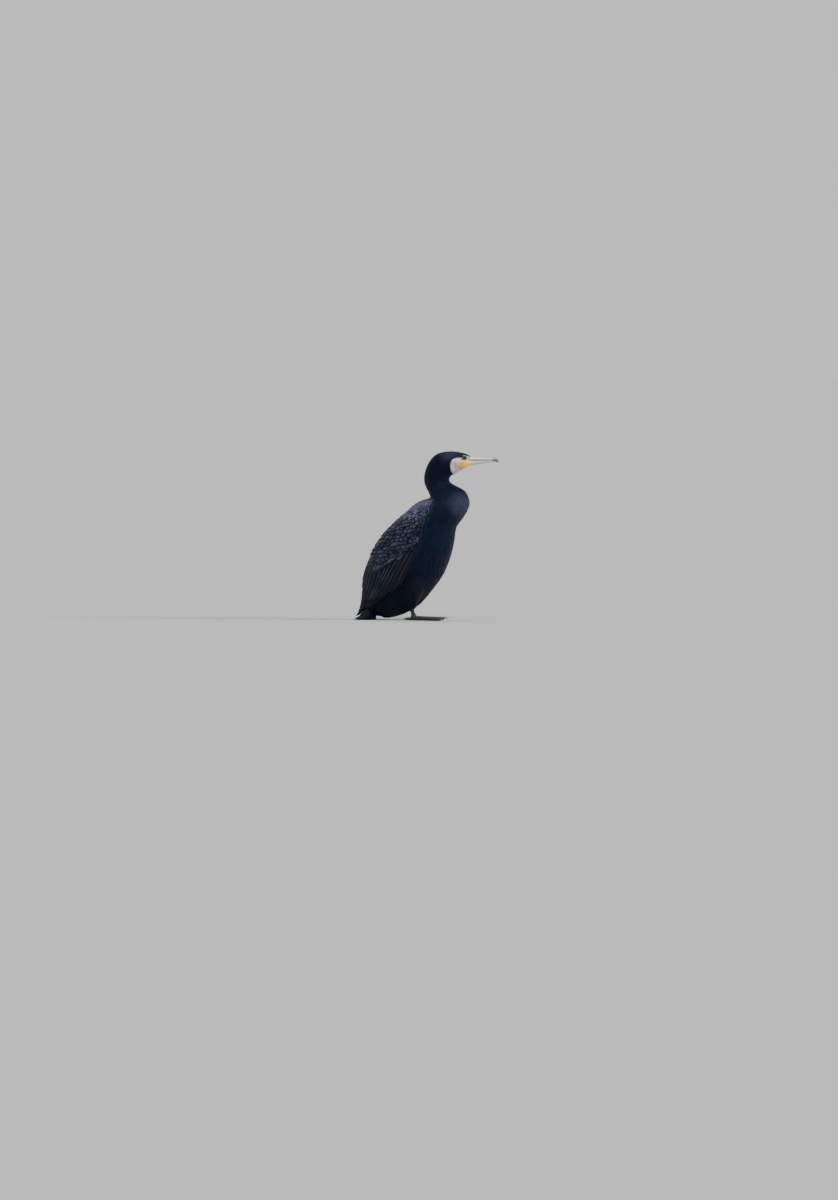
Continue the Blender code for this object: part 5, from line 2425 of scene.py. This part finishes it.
@dataclass
class Foot:
    """One webbed foot with its tarsus, and four claws."""

    leg: Leg
    finishes: Finishes
    tip_share: float = 0.72
    swell: float = 0.16
    toe_end: float = 0.55
    instep_top: float = 12.5 * MM
    instep_radius: float = 8.5 * MM
    tarsus_radii: tuple[float, float, float] = (6.6 * MM, 5.2 * MM, 5.6 * MM)
    tarsus_width: float = 0.78
    tarsus_lean: float = 8 * MM
    tarsus_top: float = 33.4 * MM
    scute: float = 2.5 * MM  # from one plate on a toe to the next
    scute_depth: float = 0.075
    web_reach: float = 0.93
    web_heel: tuple[float, float] = (-0.004, 0.0035)
    web_sag: float = 0.20
    web_steps: int = 12
    web_bottom: float = 0.7 * MM
    web_thickness: float = 1.3 * MM
    voxel: float = 0.58 * MM
    claw_length: float = 11.5 * MM
    claw_arch: float = 1.9 * MM
    claw_inside: float = 0.4 * MM  # how far a claw reaches into its toe

    def ahead(self, toe: Toe) -> Vector:
        """Unit vector of a toe on the floor."""
        angle = math.radians(toe.bearing)
        return Vector((math.cos(angle), math.sin(angle) * self.leg.side, 0))

    def build(self) -> None:
        """Builds the foot and its claws."""
        bm, word = bmesh.new(), self.leg.word
        for part in (self.tarsus(), self.instep(), *map(self.toe, TOES), self.web()):
            piece = bpy.data.meshes.new("part")
            part.to_mesh(piece)
            part.free()
            bm.from_mesh(piece)
            bpy.data.meshes.remove(piece)
        foot = publish(bm, f"foot_skin_{word}")
        remesh = foot.modifiers.new("skin", "REMESH")
        remesh.mode, remesh.voxel_size, remesh.use_smooth_shade = "VOXEL", self.voxel, True
        smooth = foot.modifiers.new("smooth", "SMOOTH")
        smooth.factor, smooth.iterations = 0.5, 2
        self.settle(applied(foot).data)
        dress(foot, self.finishes.leg, (f"foot_{word}", f"shank_{word}"))
        for toe in TOES:
            claw = publish(self.claw(toe), f"horn_claw_{word}_{toe.name}")
            dress(claw, self.finishes.claw, (f"claw_{word}_{toe.name}",))

    def tarsus(self) -> BMesh:
        """The shank between the thigh's feathers and the instep.

        Returns:
            The mesh.
        """
        (x, y), lean = self.leg.root.xy, self.tarsus_lean
        low, top = self.instep_top * 0.5, self.tarsus_top
        middle = (x - lean * 0.4, y, (low + top) / 2)
        path = along(((x, y, low), middle, (x - lean, y, top + 2 * MM)), 60)
        t = np.linspace(0, 1, 60)
        radii = np.interp(t, (0, 0.5, 1), self.tarsus_radii)
        bm = tube(path, radii * (1 - 0.05 * self.groove(t * 0.03, self.scute * 0.9)), 24)
        for vert in bm.verts:
            vert.co.y = y + (vert.co.y - y) * self.tarsus_width
        return bm

    def instep(self) -> BMesh:
        """The broad joint where the toes meet.

        Returns:
            The mesh.
        """
        bm = bmesh.new()
        bmesh.ops.create_uvsphere(bm, u_segments=24, v_segments=16, radius=1.0)
        size = (self.instep_radius, self.instep_radius, self.instep_top)
        bmesh.ops.scale(bm, verts=bm.verts, vec=size)
        place = Vector((*self.leg.root.xy, self.instep_top * 0.40))
        bmesh.ops.translate(bm, verts=bm.verts, vec=place)
        for vert in bm.verts:
            vert.co.z = max(vert.co.z, 0.1 * MM)
        return bm

    @staticmethod
    def groove(run: Array, pitch: float) -> Array:
        """Narrow joints between plates, 1 in each joint and 0 between them."""
        return np.abs(np.cos(math.pi * run / pitch)) ** 7

    def toe(self, toe: Toe) -> BMesh:
        """One toe with swollen joints, plates on top and a flat sole.

        Args:
            toe: The toe.

        Returns:
            The mesh.
        """
        steps = int(toe.length / (0.5 * MM))
        share = np.linspace(0, 1, steps)
        knots = np.cos(TURN * share * (toe.joints + 0.5)) ** 2 * (share > 0.12)
        radii = toe.radius * (1 + (self.tip_share - 1) * share + self.swell * knots)
        radii[0] *= self.toe_end
        radii[-3:] *= np.array([0.93, 0.80, self.toe_end])
        root, ahead = np.array(self.leg.root), np.array(self.ahead(toe))
        path = root + np.outer(share * toe.length, ahead)
        path[:, 2] += radii * 0.78 + 2 * MM * (1 - share) ** 2
        flat = path.copy()
        flat[:, 2] = path[:, 2].mean()
        bm = tube(flat, np.ones(steps), 18)
        joint = self.scute_depth * self.groove(share * toe.length, self.scute)
        for vert in bm.verts:
            place = np.array(vert.co)
            run = (place - root) @ ahead / toe.length
            k = int(np.clip(round(run * (steps - 1)), 0, steps - 1))
            off = place - flat[k]
            x, y, z = path[k] + off * radii[k] * (1 - joint[k] * max(off[2], 0.0))
            vert.co = (x, y, max(z, 0.05 * MM))
        return bm

    def web_outline(self) -> list[Vector]:
        """The free edge of the webs from toe tip to toe tip, then back to the heel.

        Returns:
            Its corners.
        """
        tips = [self.ahead(toe) * (toe.length * self.web_reach) for toe in TOES]
        points = []
        for start, end in zip(tips, tips[1:]):
            for share in (i / self.web_steps for i in range(self.web_steps)):
                pull = 1 - self.web_sag * math.sin(math.pi * share)
                points.append(start.lerp(end, share) * pull)
        heel = Vector((self.web_heel[0], self.web_heel[1] * self.leg.side, 0))
        return [self.leg.root + point for point in (*points, tips[-1], heel)]

    def web(self) -> BMesh:
        """The webs that join all four toes.

        Returns:
            The mesh.
        """
        bm = bmesh.new()
        outline = [bm.verts.new((p.x, p.y, self.web_bottom)) for p in self.web_outline()]
        grown = bmesh.ops.extrude_face_region(bm, geom=[bm.faces.new(outline)])["geom"]
        top = [part for part in grown if isinstance(part, BMVert)]
        bmesh.ops.translate(bm, verts=top, vec=(0, 0, self.web_thickness))
        bmesh.ops.recalc_face_normals(bm, faces=bm.faces)
        return bm

    def settle(self, mesh: Mesh) -> None:
        """Folds the webs, keeps the sole on the floor, and marks the webs and, on the higher parts
        outside them, a painted highlight.

        Args:
            mesh: The foot's skin.
        """
        spots = places(mesh)
        flat, z = spots[:, :2] - np.array(self.leg.root.xy), spots[:, 2]
        off = np.full(len(spots), np.inf)
        for toe in TOES:
            ahead = np.array(self.ahead(toe).xy)
            run = np.clip(flat @ ahead, 0, toe.length)
            away = np.linalg.norm(flat - run[:, None] * ahead, axis=1)
            off = np.minimum(off, away - toe.radius)
        radius, bearing = np.linalg.norm(flat, axis=1), np.arctan2(flat[:, 1], flat[:, 0])
        web = smoothstep(0.2 * MM, 3.0 * MM, off) * smoothstep(9 * MM, 13 * MM, radius)
        folds = np.sin(bearing * 34 + 2.0 * np.sin(radius * 160)) * 0.6
        folds += np.sin(radius * TURN / (5.5 * MM) + bearing * 5) * 0.4
        middle = self.web_bottom + self.web_thickness / 2
        thin = middle * 0.8 + (z - middle) * 0.75 + folds * 0.22 * MM
        spots[:, 2] = np.maximum(z + (thin - z) * web, 0.0)
        mesh.vertices.foreach_set("co", spots.astype(np.float32).ravel())
        mesh.update()
        # high: painted highlight, greyer higher up on toes and shank
        mark(mesh, web=web, high=smoothstep(1.5 * MM, 7 * MM, spots[:, 2]) * (1 - web))

    def claw(self, toe: Toe) -> BMesh:
        """A curved, pointed claw in front of a toe.

        Args:
            toe: The toe.

        Returns:
            The mesh.
        """
        share = np.linspace(0, 1, 16)
        base = toe.radius * self.tip_share * self.toe_end
        radii = base * 1.1 * (1 - share) ** 0.75 + 0.22 * MM
        ahead = np.array(self.ahead(toe))
        start = np.array(self.leg.root) + ahead * (toe.length - self.claw_inside)
        path = start + np.outer(share * (self.claw_length - self.claw_inside), ahead)
        path[:, 2] = base * (1.45 - share) + self.claw_arch * np.sin(math.pi * share**0.85)
        bm = tube(path, radii, 16, across=0.78)
        for vert in bm.verts:
            vert.co.z = max(vert.co.z, 0.2 * MM)
        return bm


# ---------------------------------------------------------------- head


@dataclass
class Bill:
    """The hooked bill, upper and lower."""

    finishes: Finishes
    upper: tuple[Section, ...] = (
        Section("root", (0.1232, 0.4402), (0.1198, 0.4311), 0.0084),
        Section("base", (0.1285, 0.4405), (0.1260, 0.4309), 0.0081),
        Section("nostril", (0.1345, 0.4401), (0.1325, 0.4308), 0.0075),
        Section("middle", (0.1560, 0.4388), (0.1555, 0.4309), 0.0055),
        Section("waist", (0.1760, 0.4385), (0.1750, 0.4312), 0.0046),
        Section("nail", (0.1880, 0.4392), (0.1850, 0.4306), 0.0047),
        Section("bend", (0.1952, 0.4368), (0.1905, 0.4288), 0.0040),
        Section("hook", (0.1984, 0.4322), (0.1938, 0.4270), 0.0027),
        Section("point", (0.1986, 0.4262), (0.1972, 0.4252), 0.0008),
    )
    lower: tuple[Section, ...] = (
        Section("root", (0.1196, 0.4314), (0.1142, 0.4158), 0.0090),
        Section("angle", (0.1310, 0.4312), (0.1285, 0.4185), 0.0075),
        Section("middle", (0.1560, 0.4313), (0.1555, 0.4228), 0.0050),
        Section("waist", (0.1750, 0.4315), (0.1745, 0.4256), 0.0039),
        Section("tip", (0.1862, 0.4300), (0.1862, 0.4268), 0.0028),
        Section("end", (0.1888, 0.4284), (0.1888, 0.4276), 0.0009),
    )
    rings: int = 110
    segments: int = 48
    long_part: tuple[float, float] = (0.02, 0.80)  # where the grooves start, and their length
    furrow: Row = (46.0, 9.0, 0.13)  # degrees off the top, width in degrees, depth
    edge: Row = (112.0, 10.0, 0.06)  # the same for the lower half's groove
    nail_seam: Row = (0.79, 0.012, 0.05)  # share of the length, its width, depth

    def build(self) -> None:
        """Builds both halves."""
        for name, sections in (("upper", self.upper), ("lower", self.lower)):
            upper = name == "upper"
            half = publish(self.shell(sections, upper), f"horn_bill_{name}")
            self.mark(half.data, sections, upper)
            dress(half, self.finishes.bill, (f"bill_{name}",))

    def shell(self, sections: tuple[Section, ...], upper: bool) -> BMesh:
        """One half of the bill.

        Args:
            sections: Its sections.
            upper: Whether it is the upper half.

        Returns:
            The closed mesh.
        """
        lines = section_lines(sections, self.rings)
        straight = np.outer(lines[:, 0], (1.0, 0.0, 0.0))
        bm = tube(straight, np.ones(self.rings), self.segments)
        for vert in bm.verts:
            k = int(np.argmin(np.abs(lines[:, 0] - vert.co.x)))
            turn = math.atan2(vert.co.y, vert.co.z)
            vert.co = self.point(lines[k], turn, k / (self.rings - 1), upper)
        bmesh.ops.recalc_face_normals(bm, faces=bm.faces)
        return bm

    def point(self, line: Array, turn: float, share: float, upper: bool) -> Vector:
        """A point of a section.

        Args:
            line: The section's top x and z, bottom x and z, and half width.
            turn: The angle from the top, in radians.
            share: How far along the bill the section is.
            upper: Whether it belongs to the upper half.

        Returns:
            The point.
        """
        top_x, top_z, bottom_x, bottom_z, half = line
        top, bottom = Vector((top_x, 0, top_z)), Vector((bottom_x, 0, bottom_z))
        high, wide, off = math.cos(turn), math.sin(turn), abs(turn)
        biting = high < 0 if upper else high > 0
        start, length = self.long_part
        body = math.sin(math.pi * min(max((share - start) / length, 0), 1)) ** 0.5
        if biting:  # the flat side towards the other half
            high = math.copysign(abs(high) ** 0.55, high)
            wide = math.copysign(abs(wide) ** 0.70, wide)
        middle, width, depth = self.furrow if upper else self.edge
        size = 1 - depth * bump(off, math.radians(middle), math.radians(width)) * body
        if upper and not biting:
            middle, width, depth = self.nail_seam
            size -= depth * bump(share, middle, width)
        across = Vector((0, wide * half * size, 0))
        return (top + bottom) / 2 + (top - bottom) / 2 * high * size + across

    @staticmethod
    def mark(mesh: Mesh, sections: tuple[Section, ...], upper: bool) -> None:
        """Marks the ridge, the painted shade where the two halves meet, the nail and the yellow
        root.

        Args:
            mesh: One half of the bill.
            sections: Its sections.
            upper: Whether it is the upper half.
        """
        x, _, z = places(mesh).T
        lines = np.array([(*section.top, section.bottom[1]) for section in sections])
        top, bottom = (np.interp(x, lines[:, 0], lines[:, k]) for k in (1, 2))
        low = (top - z) / (top - bottom)
        if not upper:
            low = smoothstep(0.10, 0.0, low)
        mark(
            mesh,
            # painted shade on the edge where the other half meets it
            mouth=smoothstep(0.60, 0.86, low) * smoothstep(0.1250, 0.1330, x),
            ridge=smoothstep(0.26, 0.02, low) * upper,
            nail=smoothstep(0.1790, 0.1900, x),
            base=smoothstep(0.1290, 0.1195, x) * (0.2 if upper else 1.0),
        )


@dataclass
class Eye:
    """One eye: a ball with a bulging front, and the beaded lids round it."""

    side: int
    finishes: Finishes
    spot: tuple[float, float, float] = (0.1078, 0.0098, 0.4385)
    radius: float = 6.2 * MM
    front: float = 44.0  # degrees from the axis to the edge of the clear front
    bulge: float = 0.05
    opening: float = 44.0
    lid_middle: float = 0.30 * MM  # outward of the opening's edge
    lid_size: tuple[float, float] = (0.78 * MM, 0.70 * MM)
    heavy: tuple[float, float] = (0.25 * MM, 0.75 * MM)  # how far the upper lid is out and down
    beads: int = 34

    def __post_init__(self) -> None:
        """Finds the way the eye looks."""
        self.word = "left" if self.side > 0 else "right"
        x, y, z = self.spot
        self.centre = Vector((x, y * self.side, z))
        self.axis = Vector((0.20, self.side, 0.10)).normalized()
        turned = self.axis.to_track_quat("Z", "Y").to_matrix().to_4x4()
        self.place = Matrix.Translation(self.centre) @ turned

    def build(self) -> None:
        """Builds the ball and the lids."""
        ball = publish(self.ball(), f"eyeball_{self.word}")
        spots = self.seen(ball)
        cos = spots[:, 2] / np.linalg.norm(spots, axis=1)
        mark(ball.data, polar=np.degrees(np.arccos(np.clip(cos, -1, 1))))
        dress(ball, self.finishes.eye, (f"eye_{self.word}",))
        lids = publish(self.lids(), f"lids_{self.word}")
        x, y, _ = self.seen(lids).T
        mark(lids.data, bead=smoothstep(0.1, 0.7, np.cos(self.beads * np.arctan2(y, x))))
        dress(lids, self.finishes.lid)

    def seen(self, piece: Object) -> Array:
        """A piece's vertices from the eye's middle, with z along its axis."""
        turned = np.array(self.place.to_3x3())
        return (places(piece.data) - np.array(self.centre)) @ turned

    def ball(self) -> BMesh:
        """The eyeball, its clear front standing out.

        Returns:
            The mesh.
        """
        bm = bmesh.new()
        bmesh.ops.create_uvsphere(bm, u_segments=56, v_segments=40, radius=self.radius)
        for vert in bm.verts:
            polar = math.degrees(math.acos(max(-1, min(1, vert.co.z / self.radius))))
            if polar < self.front:
                vert.co *= 1 + self.bulge * (1 - (polar / self.front) ** 2)
        bmesh.ops.transform(bm, matrix=self.place, verts=bm.verts)
        return bm

    def lids(self) -> BMesh:
        """A soft beaded ring round the opening, heavier above the eye.

        Returns:
            The mesh.
        """
        bm = bmesh.new()
        bmesh.ops.create_circle(bm, segments=14, radius=1.0)
        opening, (wide, tall) = math.radians(self.opening), self.lid_size
        out, up = self.radius * math.sin(opening), self.radius * math.cos(opening)
        for vert in bm.verts:
            x = out + vert.co.x * wide + self.lid_middle
            vert.co = Vector((x, 0, up + vert.co.y * tall))
        ring = [*bm.verts, *bm.edges]
        spin = {"axis": (0, 0, 1), "angle": TURN, "steps": 136, "use_merge": True}
        bmesh.ops.spin(bm, geom=ring, **spin)
        bmesh.ops.remove_doubles(bm, verts=bm.verts, dist=1e-6)
        for vert in bm.verts:
            x, y, z = vert.co
            outer = math.hypot(x, y) - out
            bead = math.cos(self.beads * math.atan2(y, x)) * (outer > -0.2 * MM) * 0.14 * MM
            vert.co.z += bead * smoothstep(up, up + 0.8 * MM, z) - 0.30 * max(outer, 0.0)
        bmesh.ops.transform(bm, matrix=self.place, verts=bm.verts)
        for vert in bm.verts:
            above = smoothstep(self.centre.z, self.centre.z + out * 0.4, vert.co.z)
            vert.co.y += self.heavy[0] * above * self.side
            vert.co.z -= self.heavy[1] * above
        bmesh.ops.recalc_face_normals(bm, faces=bm.faces)
        return bm


# ---------------------------------------------------------------- studio


@dataclass(frozen=True)
class Lamp:
    """A large soft lamp, far enough off to light floor and bird alike."""

    name: str
    bearing: float  # degrees round the bird, 0 in front of its right side
    height: float  # degrees over the floor
    power: float
    softness: float  # degrees that the lamp spans
    colour: tuple[float, float, float] = (1.0, 1.0, 1.0)
    mirrored: bool = True  # whether gloss shows it


@dataclass
class Studio:
    """The pale floor and surround, the soft lights and the camera."""

    azimuth: float = 10.0  # degrees, as the views count it
    elevation: float = 1.8
    distance: float = 20.0
    frame_height: float = 3.24  # metres of the scene in the picture's long side
    across: float = -0.0189  # of the picture's middle, from the middle of the bird
    above: float = 0.054
    sensor: float = 36.0
    middle: Row = (0.0, 0.0, 0.23)
    lamps: tuple[Lamp, ...] = (
        Lamp("key light", 22.0, 54.0, 2.9, 16.0, (1.0, 0.98, 0.95)),
        Lamp("front light", 86.0, 21.0, 4.2, 14.0, (0.97, 0.97, 1.0), mirrored=False),
        Lamp("top light", 195.0, 74.0, 1.9, 34.0, (0.96, 0.97, 1.0)),
        Lamp("fill light", -60.0, 26.0, 0.35, 60.0, (0.93, 0.96, 1.0)),
    )
    floor_size: float = 400.0
    floor_shade: Row = (0.355, 0.355, 0.35, 1.0)
    horizon: Row = (0.76, 0.76, 0.75, 1.0)
    zenith: Row = (0.12, 0.13, 0.15, 1.0)

    @staticmethod
    def way(azimuth: float, elevation: float) -> Vector:
        """The unit vector from the bird towards a viewer."""
        a, e = math.radians(azimuth), math.radians(elevation)
        return Vector((math.sin(a) * math.cos(e), -math.cos(a) * math.cos(e), math.sin(e)))

    def build(self) -> None:
        """Builds the floor, the lights and the camera."""
        self.build_floor()
        self.build_lights()
        self.build_surround()
        self.build_camera()

    def build_floor(self) -> None:
        """A wide pale floor."""
        bm = bmesh.new()
        bmesh.ops.create_grid(bm, x_segments=1, y_segments=1, size=self.floor_size)
        floor = publish(bm, "studio floor")
        finish = Finish("pale studio paper", Gloss(specular=0.0))
        finish.surface(self.floor_shade, 1.0)
        floor.data.materials.append(finish.material)

    def build_lights(self) -> None:
        """Large soft lights."""
        for lamp in self.lamps:
            data = bpy.data.lights.new(lamp.name, "SUN")
            data.angle = math.radians(lamp.softness)
            data.energy, data.color = lamp.power, lamp.colour
            light, way = linked(lamp.name, data), self.way(lamp.bearing, lamp.height)
            light.location = Vector(self.middle) + way
            light.rotation_euler = way.to_track_quat("Z", "Y").to_euler()
            light.visible_glossy = lamp.mirrored

    def build_surround(self) -> None:
        """A surround that is palest at the height of the eye."""
        world = bpy.data.worlds.new("studio surround")
        world.use_nodes = True
        g = Graph(world.node_tree)
        way = g.node("SeparateXYZ", {0: g.node("TexCoord").outputs["Generated"]})
        shade = g.mix(g.span(way.outputs[2], 0.0, 0.9), self.horizon, self.zenith)
        g.plug(world.node_tree.nodes["Background"].inputs["Color"], shade)
        bpy.context.scene.world = world

    def build_camera(self) -> None:
        """A long lens, level with the bird's legs and turned a little."""
        data = bpy.data.cameras.new("camera")
        data.sensor_width, data.clip_end = self.sensor, 1000.0
        data.lens = self.sensor * self.distance / self.frame_height
        camera, back = linked("camera", data), self.way(self.azimuth, self.elevation)
        right = Vector((0, 0, 1)).cross(back).normalized()
        target = right * self.across + Vector((0, 0, self.above))
        camera.location = target + back * self.distance
        camera.rotation_euler = back.to_track_quat("Z", "Y").to_euler()
        bpy.context.scene.camera = camera


# ---------------------------------------------------------------- the bird


def main() -> None:
    """Builds the bird's parts in order and writes how big it came out."""
    logging.basicConfig(level=logging.INFO, format="%(message)s")
    for thing in list(bpy.data.objects):
        bpy.data.objects.remove(thing)
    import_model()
    finishes, markings, chart = Finishes(), Markings(), BirdChart()
    log.info("charted %d rows", chart.rows)
    plumer = Plumer(markings, finishes)
    legs = (Leg(1, -0.0400), Leg(-1, -0.0260))
    tail = StiffTail(plumer)
    Skin(chart, legs, tail, markings, finishes).build()
    BodyCoat(chart, plumer).build()
    FoldedWings(BirdChart.of_wings(), plumer).build()
    for leg in legs:
        ThighCoat(leg, chart, plumer).build()
        Foot(leg, finishes).build()
    Bill(finishes).build()
    for side in (1, -1):
        Eye(side, finishes).build()
    tail.build()
    Studio().build()


if __name__ == "__main__":
    main()
